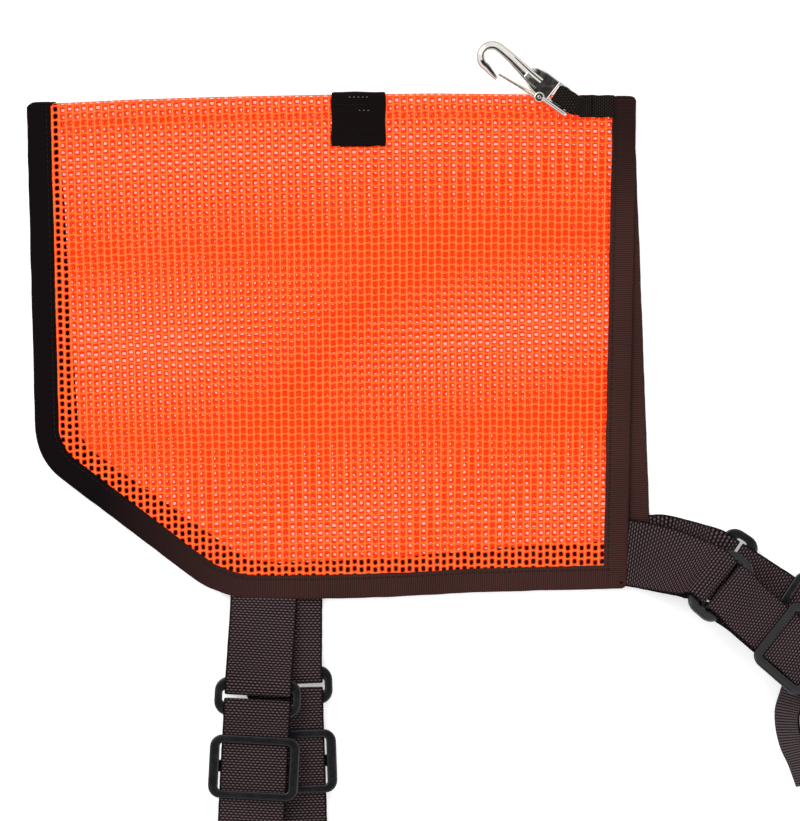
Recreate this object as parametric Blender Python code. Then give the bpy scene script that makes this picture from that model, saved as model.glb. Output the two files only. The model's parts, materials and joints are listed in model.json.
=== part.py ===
"""High-visibility mesh vest for a working animal, folded along its spine and lying flat.

Lengths are millimetres here and become metres when a mesh is made. The panel frame has +X along the
spine towards the collar, +Y from the hem towards the spine, and +Z up from the surface it lies on.
"""

import math

import bmesh
import bpy
from mathutils import Matrix, Vector

MM = 0.001
CLEARANCE = 0.3

# The laid-out part is centred on its own footprint, so the panel frame is moved by this much.
FOOTPRINT_CENTRE = Vector((64.4, -77.4, 0.0))

# Fabric panel: side line, two hem corners and the collar line, each with its corner radius.
SPINE_Y = 180.0
TAIL_SIDE = (-211.5, 173.0)
HEM_CORNERS = [((-206.3, -27.6), 38.0), ((-102.0, -106.6), 60.0), ((128.6, -100.8), 4.0)]
COLLAR_SIDE = (133.9, 176.0)
BACK_PANEL_TURN = math.radians(2.1)
BACK_PANEL_SHIFT = Vector((4.0, 2.0))

MESH_THICKNESS = 1.0
TAPE_WIDTH = 13.5
TAPE_PLY = 0.5
TAPE_GROOVE = 1.6
PANEL_THICKNESS = TAPE_GROOVE + 2 * TAPE_PLY
LAYER_GAP = 0.4
BACK_Z = PANEL_THICKNESS / 2
FRONT_Z = PANEL_THICKNESS + LAYER_GAP + PANEL_THICKNESS / 2
FOLD_Z = PANEL_THICKNESS + LAYER_GAP / 2
FRONT_TOP_Z = 2 * PANEL_THICKNESS + LAYER_GAP

# Webbing and its moulded hardware.
WEB_WIDTH = 38.0
WEB_THICKNESS = 1.2
PLY_OFFSET = WEB_THICKNESS / 2 + 0.15
RING_LENGTH, RING_WIDTH, RING_THICKNESS = 22.0, 49.0, 3.5
RING_SLOT_LENGTH, RING_SLOT_WIDTH = 6.5, 40.0
RING_BAR = (RING_LENGTH - RING_SLOT_LENGTH) / 2
RING_PIVOT = (RING_LENGTH - RING_BAR) / 2
LOOP_ROOM = 1.0
LOOP_HEIGHT = RING_THICKNESS / 2 + LOOP_ROOM + WEB_THICKNESS / 2
GLIDE_LENGTH, GLIDE_WIDTH = 36.0, 51.0
GLIDE_BAR, GLIDE_SIDE, GLIDE_CORNER = 4.6, 5.6, 7.0
GLIDE_PASSAGE = 2 * PLY_OFFSET + WEB_THICKNESS + 2 * CLEARANCE
GLIDE_PLATE = 1.9
GLIDE_CENTRE_BAR = 6.8
BUCKLE_WIDTH, BUCKLE_THICKNESS = 48.0, 9.4
BUCKLE_BAR = 4.4
BUCKLE_BAR_HALF = 1.6
BUCKLE_SLOT = 5.5
BUCKLE_WALL = 2.0
BUCKLE_SOCKET_LENGTH = 42.0
BUCKLE_SHOULDER = 5.0
RING_CORNER, RING_SLOT_CORNER, RING_EDGE = 8.0, 1.5, 1.1
GLIDE_WINDOW_CORNER = 2.0
TAIL_PAST_GLIDE = 12.0
STITCHED_END = 12.0
SECTION_PITCH = 14.0

# The webbing's way round a bar, and the ramp that leads to it.
TURN_RADIUS = 1.6
BAR_REACH = RING_BAR / 2 + 0.4 + WEB_THICKNESS / 2
RAMP = 6.0
STRAIGHT_END = RING_BAR / 2 + RAMP + 2.0

# Heights of the straps' centre lines, and how far a strap runs square to the hem first.
HEM_LEAD = 9.0
BACK_HEM_Z = PLY_OFFSET + WEB_THICKNESS / 2 + 0.25
FRONT_HEM_Z = FRONT_Z + 0.95
LOWER_STRAP_Z = LOOP_HEIGHT + WEB_THICKNESS / 2 + 0.1
BUCKLE_Z = BUCKLE_THICKNESS / 2 + 0.1
BACK_STRAP_Z = max(LOWER_STRAP_Z, BUCKLE_Z)
FRONT_STRAP_Z = BACK_STRAP_Z + 2 * LOWER_STRAP_Z + 0.5

# The front chest strap leans over the back one, so it is high and turned on its side.
FRONT_CHEST_ROLL = -34.0
FRONT_CHEST_Z = 26.0
FRONT_CHEST_HEADING = -41.0
FRONT_CHEST_GLIDE = 55.5
FRONT_CHEST_STRAIGHT = 84.0

# Spine tab and collar webbing, as spans in X and Y.
TAB_X, TAB_Y, TAB_THICKNESS = (-39.0, -8.0), (149.6, 181.4), 1.5
COLLAR_X, COLLAR_Y, COLLAR_THICKNESS = (103.0, 119.8), (166.0, 178.6), 1.8

# Snap hook, in its own plane: X from the eye's bar to the bend, Y towards the gate.
HOOK_PLACE = Vector((97.2, 175.6, 11.0))
HOOK_HEADING = 142.0
HOOK_MIDDLE = 2.3
HOOK_THICKNESS = 6.0
EYE_BAR = 1.7
EYE_HALF_WIDTH = 6.6
EYE_ARM = 2.3
EYE_LENGTH = 12.0
BEND_CENTRE, BEND_RADIUS = (50.8, 8.7), 6.4
SHANK_MIDDLE = (38.0, 2.6)
NOSE = ((45.0, 15.9), (40.5, 16.9))
BEND_WIDTHS = [8.5, 5.2] + [4.6] * 11 + [3.2, 2.2]
GATE_PIVOT = (15.5, 10.2)
GATE_TIP = (41.6, 14.0)
GATE_WIDTHS = [3.8, 3.8, 2.2, 1.4]
GATE_THICKNESS = 2.8
GATE_SLOT_START, GATE_SLOT_Y = 0.9, 6.6
RIVET_RADIUS = 0.9
RIVET_SIDES = 12
HOOK_WEB_WIDTH = 8.0
HOOK_LOOP_REACH = 4.4
HOOK_LOOP_LENGTH = 10.5
FAR = 10.0

PLASTIC = ("black_plastic", (0.032, 0.030, 0.032), 0.42, 0.0)
WEBBING = ("black_webbing", (0.036, 0.026, 0.027), 0.85, 0.0)
TAPE = ("binding_tape", (0.028, 0.015, 0.014), 0.8, 0.0)
MESH = ("orange_mesh", (0.95, 0.14, 0.03), 0.45, 0.0)
CHROME = ("nickel_plate", (0.72, 0.71, 0.69), 0.16, 1.0)
SPRING_STEEL = ("spring_steel", (0.62, 0.58, 0.52), 0.3, 1.0)


def material(name, colour, roughness, metallic):
    """One Principled material, made once for each name."""
    made = bpy.data.materials.get(name)
    if made is None:
        made = bpy.data.materials.new(name)
        made.use_nodes = True
        shader = made.node_tree.nodes["Principled BSDF"]
        shader.inputs["Base Color"].default_value = (*colour, 1.0)
        shader.inputs["Roughness"].default_value = roughness
        shader.inputs["Metallic"].default_value = metallic
    return made


def pivot(name, place, parent=None):
    """An empty on a joint's axis, at a place in the panel frame."""
    empty = bpy.data.objects.new(name, None)
    bpy.context.collection.objects.link(empty)
    empty["place"] = list(place)
    start = Vector((0.0, 0.0, 0.0))
    if parent is not None:
        empty.parent = parent
        start = Vector(parent["place"])
    empty.location = (Vector(place) - start) * MM
    return empty


def solid(name, points, faces, finish, parent, frame=Matrix.Identity(4)):
    """A named mesh object from points in the given frame, hung on its pivot."""
    mesh = bpy.data.meshes.new(name)
    mesh.from_pydata([Vector(point) * MM for point in points], [], faces)
    shape = bmesh.new()
    shape.from_mesh(mesh)
    bmesh.ops.recalc_face_normals(shape, faces=shape.faces)
    shape.to_mesh(mesh)
    shape.free()
    mesh.materials.append(material(*finish))
    made = bpy.data.objects.new(name, mesh)
    bpy.context.collection.objects.link(made)
    made.parent = parent
    local = frame.copy()
    local.translation = (frame.translation - Vector(parent["place"])) * MM
    made.matrix_local = local
    return made


def rounded(made, angle=40.0):
    """Smooth shading that keeps edges sharper than the angle."""
    made.data.shade_smooth()
    made.data.set_sharp_from_angle(angle=math.radians(angle))
    return made


def bevelled(made, width, segments=1):
    bevel = made.modifiers.new("edges", "BEVEL")
    bevel.width = width * MM
    bevel.segments = segments
    bevel.limit_method = "ANGLE"
    bevel.angle_limit = math.radians(50.0)
    return made


def combine(made, helper, operation):
    """Boolean of a hidden helper into the solid."""
    helper.hide_render = True
    helper.display_type = "WIRE"
    step = made.modifiers.new(helper.name, "BOOLEAN")
    step.operation = operation
    step.object = helper
    step.solver = "EXACT"
    return made


def arc(centre, radius, start, end, count):
    """Points along an arc, angles in radians."""
    turn = (end - start) / (count - 1)
    return [
        (centre[0] + radius * math.cos(start + i * turn), centre[1] + radius * math.sin(start + i * turn))
        for i in range(count)
    ]


def fillet(before, corner, after, radius, count):
    """The corner rounded by an arc tangent to both of its sides."""
    corner = Vector(corner)
    one = (Vector(before) - corner).normalized()
    two = (Vector(after) - corner).normalized()
    half = one.angle(two) / 2
    reach = radius / math.tan(half)
    centre = corner + (one + two).normalized() * radius / math.sin(half)
    first = corner + one * reach - centre
    last = corner + two * reach - centre
    start = math.atan2(first.y, first.x)
    sweep = math.remainder(math.atan2(last.y, last.x) - start, math.tau)
    return arc(centre, radius, start, start + sweep, count)


def rounded_rectangle(length, width, radius, count=5):
    """Closed outline centred on the origin, length along X."""
    points = []
    for quarter in range(4):
        start = quarter * math.pi / 2
        x = length / 2 - radius if quarter in (0, 3) else radius - length / 2
        y = width / 2 - radius if quarter < 2 else radius - width / 2
        points += arc((x, y), radius, start, start + math.pi / 2, count)
    return points


def prism(outline, low, high):
    """Points and faces of a closed outline raised from low to high."""
    count = len(outline)
    points = [(x, y, low) for x, y in outline] + [(x, y, high) for x, y in outline]
    faces = [list(range(count))[::-1], list(range(count, 2 * count))]
    faces += [(i, (i + 1) % count, count + (i + 1) % count, count + i) for i in range(count)]
    return points, faces


def plate_with_slot(outer, inner, low, high):
    """A plate between two outlines that have the same number of points."""
    count = len(outer)
    points = []
    for outline, z in ((outer, low), (outer, high), (inner, high), (inner, low)):
        points += [(x, y, z) for x, y in outline]
    faces = []
    for ring in range(4):
        this, after = ring * count, (ring + 1) % 4 * count
        for i in range(count):
            j = (i + 1) % count
            faces.append((this + i, this + j, after + j, after + i))
    return points, faces


def swept(sections):
    """Points and faces of one closed body through sections with equal numbers of points."""
    count = len(sections[0])
    points = [point for section in sections for point in section]
    last = (len(sections) - 1) * count
    faces = [list(range(count)), [last + i for i in range(count)][::-1]]
    for start in range(0, last, count):
        for i in range(count):
            j = (i + 1) % count
            faces.append((start + i, start + count + i, start + count + j, start + j))
    return points, faces


def box(low, high):
    outline = [(low[0], low[1]), (high[0], low[1]), (high[0], high[1]), (low[0], high[1])]
    return prism(outline, low[2], high[2])


# Fabric panels ---------------------------------------------------------------------------------


def turned(point, turn, shift):
    """A panel point after the back layer's slip about the tail end of the spine."""
    centre = Vector(TAIL_SIDE)
    return (Matrix.Rotation(turn, 2) @ (Vector(point) - centre)) + centre + shift


def at_height(one, two, y):
    """Where the line through two points crosses a height."""
    share = (y - one.y) / (two.y - one.y)
    return one + (two - one) * share


def panel_corners(turn, shift):
    """The open outline from the spine at the tail side, round the hem, to the spine at the collar."""
    tail = turned(TAIL_SIDE, turn, shift)
    hem = [turned(corner, turn, shift) for corner, _ in HEM_CORNERS]
    collar = turned(COLLAR_SIDE, turn, shift)
    return [at_height(tail, hem[0], SPINE_Y), *hem, at_height(collar, hem[-1], SPINE_Y)]


def inset(corners, distance):
    """The open outline moved inwards, its two ends kept on the spine line."""
    lines = []
    for one, two in zip(corners, corners[1:]):
        inward = Vector((-(two - one).y, (two - one).x)).normalized()
        lines.append((one + inward * distance, two + inward * distance))
    moved = [at_height(*lines[0], corners[0].y)]
    for (a, b), (c, d) in zip(lines, lines[1:]):
        along, other = b - a, d - c
        share = (c - a).cross(other) / along.cross(other)
        moved.append(a + along * share)
    moved.append(at_height(*lines[-1], corners[-1].y))
    return moved


def outline_parts(corners, distance):
    """The three stretches of the outline at a distance inside it: tail side, hem, collar side."""
    line = inset(corners, distance) if distance else corners
    bends = []
    for i, (_, radius) in enumerate(HEM_CORNERS):
        bends.append(fillet(line[i], line[i + 1], line[i + 2], max(radius - distance, 1.0), 7))
    tail_side = [tuple(line[0]), bends[0][0]]
    hem = bends[0] + bends[1] + bends[2]
    collar_side = [bends[2][-1], tuple(line[-1])]
    return tail_side, hem, collar_side


def shortened(points, start, end):
    """The same polyline with a little taken off its first and last stretch."""
    points = [Vector(point) for point in points]
    points[0] = points[0] + (points[1] - points[0]).normalized() * start
    points[-1] = points[-1] + (points[-2] - points[-1]).normalized() * end
    return points


def binding(name, outer, root, inner, middle, parent):
    """Tape folded over the fabric's edge, as a channel open towards the fabric."""
    low, high = middle - PANEL_THICKNESS / 2, middle + PANEL_THICKNESS / 2
    groove_low, groove_high = middle - TAPE_GROOVE / 2, middle + TAPE_GROOVE / 2
    sections = []
    for out, deep, inside in zip(outer, root, inner):
        sections.append(
            [
                (*out, low),
                (*out, high),
                (*inside, high),
                (*inside, groove_high),
                (*deep, groove_high),
                (*deep, groove_low),
                (*inside, groove_low),
                (*inside, low),
            ]
        )
    return solid(name, *swept(sections), TAPE, parent)


def panel(side, middle, turn, shift, parent):
    """One half of the vest: its mesh and the three tapes round its free edges."""
    corners = panel_corners(turn, shift)
    outer = outline_parts(corners, 0.0)
    root = outline_parts(corners, TAPE_PLY + CLEARANCE)
    inner = outline_parts(corners, TAPE_WIDTH)
    names = ("tail_binding", "hem_binding", "collar_binding")
    for name, out, deep, inside in zip(names, outer, root, inner):
        cut = CLEARANCE / 2
        rows = [shortened(row, cut, cut) for row in (out, deep, inside)]
        binding(f"{side}_{name}", *rows, middle, parent)
    edge = outline_parts(corners, TAPE_PLY + 2 * CLEARANCE)
    fabric = edge[0][:1] + edge[1] + edge[2][1:]
    fabric = [(x, min(y, SPINE_Y - CLEARANCE)) for x, y in fabric]
    points, faces = prism(fabric, middle - MESH_THICKNESS / 2, middle + MESH_THICKNESS / 2)
    return solid(f"{side}_mesh_panel", points, faces, MESH, parent)


# Webbing ---------------------------------------------------------------------------------------


class Run:
    """A centre line for webbing through stations of (x, y, z, roll in degrees).

    at(distance, height) gives a point that far along and that far off the flat of the webbing, and
    the unit vector across the webbing there. The line goes on straight past both of its ends.
    """

    STEPS = 8

    def __init__(self, stations):
        knots = [Vector(station[:3]) for station in stations]
        rolls = [math.radians(station[3]) for station in stations]
        self.points, self.rolls = [], []
        for i in range(len(knots) - 1):
            before = knots[i - 1] if i else knots[0] * 2 - knots[1]
            after = knots[i + 2] if i + 2 < len(knots) else knots[-1] * 2 - knots[-2]
            chord = (knots[i + 1] - knots[i]).length
            one = (knots[i + 1] - before).normalized() * chord
            two = (after - knots[i]).normalized() * chord
            for step in range(self.STEPS):
                t = step / self.STEPS
                self.points.append(
                    knots[i] * (2 * t**3 - 3 * t**2 + 1)
                    + one * (t**3 - 2 * t**2 + t)
                    + knots[i + 1] * (3 * t**2 - 2 * t**3)
                    + two * (t**3 - t**2)
                )
                self.rolls.append(rolls[i] + (rolls[i + 1] - rolls[i]) * t)
        self.points.append(knots[-1])
        self.rolls.append(rolls[-1])
        self.reach = [0.0]
        for one, two in zip(self.points, self.points[1:]):
            self.reach.append(self.reach[-1] + (two - one).length)
        self.length = self.reach[-1]

    def centre(self, distance):
        if distance <= 0:
            return self.points[0] + (self.points[1] - self.points[0]).normalized() * distance
        if distance >= self.length:
            along = (self.points[-1] - self.points[-2]).normalized()
            return self.points[-1] + along * (distance - self.length)
        i = next(i for i, reach in enumerate(self.reach) if reach > distance)
        share = (distance - self.reach[i - 1]) / (self.reach[i] - self.reach[i - 1])
        return self.points[i - 1].lerp(self.points[i], share)

    def roll(self, distance):
        distance = min(max(distance, 0.0), self.length)
        i = next((i for i, reach in enumerate(self.reach) if reach > distance), len(self.reach) - 1)
        share = (distance - self.reach[i - 1]) / (self.reach[i] - self.reach[i - 1])
        return self.rolls[i - 1] + (self.rolls[i] - self.rolls[i - 1]) * share

    def axes(self, distance):
        """Along, across and off the webbing, each a unit vector."""
        along = (self.centre(distance + 1.5) - self.centre(distance - 1.5)).normalized()
        level = Vector((0.0, 0.0, 1.0)).cross(along).normalized()
        up = along.cross(level)
        roll = self.roll(distance)
        across = level * math.cos(roll) + up * math.sin(roll)
        return along, across, along.cross(across)

    def at(self, distance, height):
        along, across, off = self.axes(distance)
        return self.centre(distance) + off * height, across

    def frame(self, distance):
        """A matrix whose X runs along, Y across and Z off the webbing."""
        along, across, off = self.axes(distance)
        made = Matrix((along, across, off)).transposed().to_4x4()
        made.translation = self.centre(distance)
        return made


def webbing(name, path, run, parent, width=WEB_WIDTH, thickness=WEB_THICKNESS):
    """A band of webbing along a path of (distance, height) over a run."""
    path = [Vector(point) for point in path]
    sections = []
    for i, here in enumerate(path):
        before = path[max(i - 1, 0)]
        after = path[min(i + 1, len(path) - 1)]
        one = (here - before).normalized() if i else (after - here).normalized()
        two = (after - here).normalized() if i < len(path) - 1 else one
        along = (one + two).normalized()
        half = thickness / 2 / max(along.dot(one), 0.6)
        side = Vector((-along.y, along.x)) * half
        section = []
        for face, edge in ((side, 1), (side, -1), (-side, -1), (-side, 1)):
            point, across = run.at(here.x + face.x, here.y + face.y)
            section.append(point + across * edge * width / 2)
        sections.append(section)
    return rounded(solid(name, *swept(sections), WEBBING, parent))


def turn_round(bar, reach, height, facing):
    """Webbing's way round a bar; facing is +1 when the closed end is at larger distances."""
    radius = TURN_RADIUS
    upper = arc((reach - radius, height - radius), radius, math.pi / 2, 0.0, 4)
    lower = [(x, -y) for x, y in upper[::-1]]
    return [(bar + facing * x, y) for x, y in upper + lower]


def anchor_loop(name, run, parent):
    """Doubled webbing sewn to the panel, holding the ring's first bar at the run's far end."""
    ramp = run.length - RING_BAR / 2 - RAMP
    steps = [ramp * i / 5 for i in range(6)]
    out = [(step, PLY_OFFSET) for step in steps] + [(run.length - RING_BAR / 2, LOOP_HEIGHT)]
    back = [(distance, -height) for distance, height in out[::-1]]
    path = out + turn_round(run.length, BAR_REACH, LOOP_HEIGHT, 1) + back
    return webbing(name, path, run, parent)


def adjustable_strap(name, run, glide_at, parent):
    """Webbing from the ring's second bar, through the glide, to the buckle's bar at the run's end."""
    start = RING_BAR / 2
    tail = glide_at + GLIDE_LENGTH / 2 + TAIL_PAST_GLIDE
    inner = [(tail, -PLY_OFFSET), (glide_at, -PLY_OFFSET)]
    inner += [(start + RAMP, -PLY_OFFSET), (start, -LOOP_HEIGHT)]
    turn = turn_round(0.0, BAR_REACH, LOOP_HEIGHT, -1)[::-1]
    end = run.length - BUCKLE_BAR / 2
    bend = end - RAMP
    count = max(2, round((bend - start - RAMP) / SECTION_PITCH))
    steps = [start + RAMP + (bend - start - RAMP) * i / count for i in range(count + 1)]
    height = BUCKLE_THICKNESS / 4 + CLEARANCE + WEB_THICKNESS / 2
    outer = [(start, LOOP_HEIGHT)] + [(step, PLY_OFFSET) for step in steps] + [(end, height)]
    reach = BUCKLE_BAR / 2 + 2 * CLEARANCE + WEB_THICKNESS / 2
    stitched = [(end, -height), (bend, -PLY_OFFSET), (bend - STITCHED_END, -PLY_OFFSET)]
    path = inner + turn + outer + turn_round(run.length, reach, height, 1) + stitched
    return webbing(name, path, run, parent)


# Moulded hardware ------------------------------------------------------------------------------


def ring(name, frame, parent):
    """Flat two-bar ring that joins the anchor loop to the adjustable strap."""
    outer = rounded_rectangle(RING_LENGTH, RING_WIDTH, RING_CORNER)
    inner = rounded_rectangle(RING_SLOT_LENGTH, RING_SLOT_WIDTH, RING_SLOT_CORNER)
    half = RING_THICKNESS / 2
    made = solid(name, *plate_with_slot(outer, inner, -half, half), PLASTIC, parent, frame)
    return rounded(bevelled(made, RING_EDGE))


def tri_glide(name, frame, parent):
    """Adjuster whose end bars lie over the webbing and whose middle bar lies under it."""
    outer = rounded_rectangle(GLIDE_LENGTH, GLIDE_WIDTH, GLIDE_CORNER)
    window = GLIDE_WIDTH - 2 * GLIDE_SIDE
    inner = rounded_rectangle(GLIDE_LENGTH - 2 * GLIDE_BAR, window, GLIDE_WINDOW_CORNER)
    low = GLIDE_PASSAGE / 2
    high = low + GLIDE_PLATE
    made = solid(name, *plate_with_slot(outer, inner, low, high), PLASTIC, parent, frame)
    half, reach, side = GLIDE_WIDTH / 2, GLIDE_CENTRE_BAR / 2, window / 2
    level = low + GLIDE_PLATE / 2
    cradle = [(-half, -high), (half, -high), (half, level), (side, level)]
    cradle += [(side, -low), (-side, -low), (-side, level), (-half, level)]
    ends = [[(x, y, z) for y, z in cradle] for x in (-reach, reach)]
    middle = solid(f"{name}_middle_bar", *swept(ends), PLASTIC, parent, frame)
    return rounded(combine(made, middle, "UNION"))


def slot_cutter(name, low, high, parent, frame):
    return solid(name, *box(low, high), PLASTIC, parent, frame)


def webbing_bar(made, name, parent, frame):
    """Cuts the slot for webbing into a buckle and thins the bar that is left."""
    bar, side = BUCKLE_BAR / 2, WEB_WIDTH / 2 + 0.8
    cuts = {
        "slot": ((bar, -side, -FAR), (bar + BUCKLE_SLOT, side, FAR)),
        "bar_top": ((-FAR, -side, BUCKLE_BAR_HALF), (bar + 1, side, FAR)),
        "bar_bottom": ((-FAR, -side, -FAR), (bar + 1, side, -BUCKLE_BAR_HALF)),
    }
    for part, (low, high) in cuts.items():
        combine(made, slot_cutter(f"{name}_{part}", low, high, parent, frame), "DIFFERENCE")
    return made


def male_buckle(name, frame, parent):
    """Prong half of a side-release buckle; its webbing bar is centred on the frame's origin."""
    half, thick = BUCKLE_WIDTH / 2, BUCKLE_THICKNESS / 4
    bar = BUCKLE_BAR / 2
    shoulder = bar + BUCKLE_SLOT + BUCKLE_SHOULDER
    side = [(-bar, half - 2), (-bar + 2, half), (shoulder, half), (shoulder, half - 3)]
    prong = [(shoulder + 8, half - 5), (shoulder + 15, half), (shoulder + 20, half - 2)]
    prong += [(shoulder + 25, half - 8), (shoulder + 22, half - 10), (shoulder + 1, half - 9)]
    guide = [(shoulder, 4.0), (shoulder + 22, 3.0), (shoulder + 24, 1.5)]
    upper = side + prong + guide
    outline = upper + [(x, -y) for x, y in upper[::-1]]
    made = solid(name, *prism(outline, -thick, thick), PLASTIC, parent, frame)
    return webbing_bar(made, name, parent, frame)


def female_buckle(name, frame, parent):
    """Socket half of a side-release buckle, with a window in each side for the prongs."""
    half, thick = BUCKLE_WIDTH / 2, BUCKLE_THICKNESS / 2
    bar = BUCKLE_BAR / 2
    floor = bar + BUCKLE_SLOT + 3.0
    length = BUCKLE_SOCKET_LENGTH
    outline = rounded_rectangle(length + bar, BUCKLE_WIDTH, 4.0, 4)
    outline = [(x + (length - bar) / 2, y) for x, y in outline]
    made = solid(name, *prism(outline, -thick, thick), PLASTIC, parent, frame)
    wall = BUCKLE_WALL
    cuts = {
        "socket": ((floor, wall - half, wall - thick), (length + FAR, half - wall, thick - wall)),
        "windows": ((length - 20, -half - 5, wall - thick), (length - 9, half + 5, thick - wall)),
    }
    for part, (low, high) in cuts.items():
        combine(made, slot_cutter(f"{name}_{part}", low, high, parent, frame), "DIFFERENCE")
    return webbing_bar(made, name, parent, frame)


# Straps ----------------------------------------------------------------------------------------


def heading(degrees):
    angle = math.radians(degrees)
    return Vector((math.cos(angle), math.sin(angle), 0.0))


def strap_set(side, anchor_run, strap_run, glide_at, buckle, panel_pivot):
    """One strap from its sewn end to its buckle half."""
    hem = pivot(f"{side}_hem_line", anchor_run.centre(0.0), panel_pivot)
    anchor_loop(f"{side}_anchor_loop", anchor_run, hem)
    first = anchor_run.centre(anchor_run.length)
    second = strap_run.centre(0.0)
    ring_pivot = pivot(f"{side}_ring_first_bar", first, hem)
    frame = strap_run.frame(0.0)
    frame.translation = (first + second) / 2
    ring(f"{side}_ring", frame, ring_pivot)
    strap_pivot = pivot(f"{side}_ring_second_bar", second, ring_pivot)
    adjustable_strap(f"{side}_strap", strap_run, glide_at, strap_pivot)
    glide_frame = strap_run.frame(glide_at)
    glide_pivot = pivot(f"{side}_glide_travel", glide_frame.translation, strap_pivot)
    tri_glide(f"{side}_tri_glide", glide_frame, glide_pivot)
    buckle_frame = strap_run.frame(strap_run.length)
    buckle_pivot = pivot(f"{side}_buckle_bar", buckle_frame.translation, strap_pivot)
    buckle(f"{side}_{'male' if buckle is male_buckle else 'female'}_buckle", buckle_frame, buckle_pivot)
    return strap_pivot


def straight_set(side, hem, ring_centre, degrees, levels, sizes, buckle, panel_pivot):
    """A strap that lies flat and straight.

    hem is the sewn end's place; degrees are the headings square to the tape's edge and along the
    strap; levels are the heights at the hem and beyond; sizes are the distances from the
    ring's middle to the glide and to the buckle's bar.
    """
    level, low = levels
    square, lay = degrees
    glide_at, buckle_at = sizes
    along = heading(lay)
    centre = Vector((*ring_centre, low))
    start = Vector((*hem, level))
    first, second = centre - along * RING_PIVOT, centre + along * RING_PIVOT
    waist, straight = first - along * STRAIGHT_END * 1.3, first - along * STRAIGHT_END
    lead = start + heading(square) * HEM_LEAD
    anchor = Run([(*start, 0.0), (*lead, 0.0), (*waist, 0.0), (*straight, 0.0), (*first, 0.0)])
    strap = Run([(*second, 0.0), (*(second + along * (buckle_at - RING_PIVOT)), 0.0)])
    return strap_set(side, anchor, strap, glide_at - RING_PIVOT, buckle, panel_pivot)


def belly_straps(back_pivot, front_pivot):
    straight_set(
        "back_belly", (-62.9, -102.6), (-62.7, -155.9), (-90.0, -88.1),
        (BACK_HEM_Z, BACK_STRAP_Z), (43.0, 165.0), female_buckle, back_pivot,
    )
    straight_set(
        "front_belly", (-77.2, -107.2), (-80.4, -162.2), (-91.5, -93.0),
        (FRONT_HEM_Z, FRONT_STRAP_Z), (39.7, 112.0), male_buckle, front_pivot,
    )


def chest_straps(back_pivot, front_pivot):
    straight_set(
        "back_chest", (143.4, -78.0), (183.1, -90.4), (2.0, -33.0),
        (BACK_HEM_Z, BACK_STRAP_Z), (54.0, 132.0), female_buckle, back_pivot,
    )
    along = heading(FRONT_CHEST_HEADING)
    centre = Vector((180.6, -98.9, FRONT_CHEST_Z))
    first, second = centre - along * RING_PIVOT, centre + along * RING_PIVOT
    roll = FRONT_CHEST_ROLL
    anchor = Run(
        [
            (131.6, -81.0, FRONT_HEM_Z, 0.0),
            (139.0, -81.3, FRONT_HEM_Z + 1.5, roll * 0.1),
            (*(first - along * STRAIGHT_END * 1.3), roll),
            (*(first - along * STRAIGHT_END), roll),
            (*first, roll),
        ]
    )
    straight = second + along * FRONT_CHEST_STRAIGHT
    strap = Run(
        [
            (*second, roll),
            (*straight, roll),
            (*(straight + along * 8.0), roll),
            (267.0, -182.0, 18.0, roll * 0.5),
            (270.5, -196.0, 9.0, roll * 0.15),
            (272.0, -208.0, BUCKLE_Z + 0.8, 0.0),
            (273.0, -220.0, BUCKLE_Z + 0.4, 0.0),
        ]
    )
    strap_pivot = strap_set(
        "front_chest", anchor, strap, FRONT_CHEST_GLIDE - RING_PIVOT, male_buckle, front_pivot
    )
    tail = Run(
        [
            (226.6, -160.5, 15.2, 50.0),
            (223.6, -171.0, 17.6, 62.0),
            (225.6, -186.0, 17.9, 66.0),
            (230.4, -198.0, 17.9, 66.0),
            (235.0, -210.0, 17.6, 64.0),
        ]
    )
    steps = [(tail.length * i / 10, 0.0) for i in range(11)]
    webbing("front_chest_loose_end", steps, tail, strap_pivot)


# Spine tab, collar webbing and snap hook ---------------------------------------------------------

def stroke(middle_line, widths):
    """Closed outline of a line drawn with a changing width."""
    middle_line = [Vector(point) for point in middle_line]
    left, right = [], []
    for i, here in enumerate(middle_line):
        before, after = middle_line[max(i - 1, 0)], middle_line[min(i + 1, len(middle_line) - 1)]
        along = (after - before).normalized()
        side = Vector((-along.y, along.x)) * widths[i] / 2
        left.append(tuple(here + side))
        right.append(tuple(here - side))
    return left + right[::-1]


def hook_frame():
    frame = Matrix.Rotation(math.radians(HOOK_HEADING), 4, "Z")
    frame.translation = HOOK_PLACE
    return frame


def eye_outline():
    """The cast eye and its two arms, from the eye's bar to the start of the bend."""
    low, high = HOOK_MIDDLE - EYE_HALF_WIDTH, HOOK_MIDDLE + EYE_HALF_WIDTH
    return [
        (-EYE_BAR, high - 2.0),
        (-EYE_BAR, low + 2.0),
        (0.4, low),
        (EYE_LENGTH + 4.0, low + 0.6),
        (EYE_LENGTH + 14.0, HOOK_MIDDLE - 5.0),
        (EYE_LENGTH + 14.0, HOOK_MIDDLE + 4.6),
        (EYE_LENGTH + 4.0, high + 3.0),
        (EYE_LENGTH - 1.0, high + 1.5),
        (0.4, high),
    ]


def rivet_circle(radius):
    return arc(GATE_PIVOT, radius, 0.0, math.tau, RIVET_SIDES + 1)[:-1]


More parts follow.
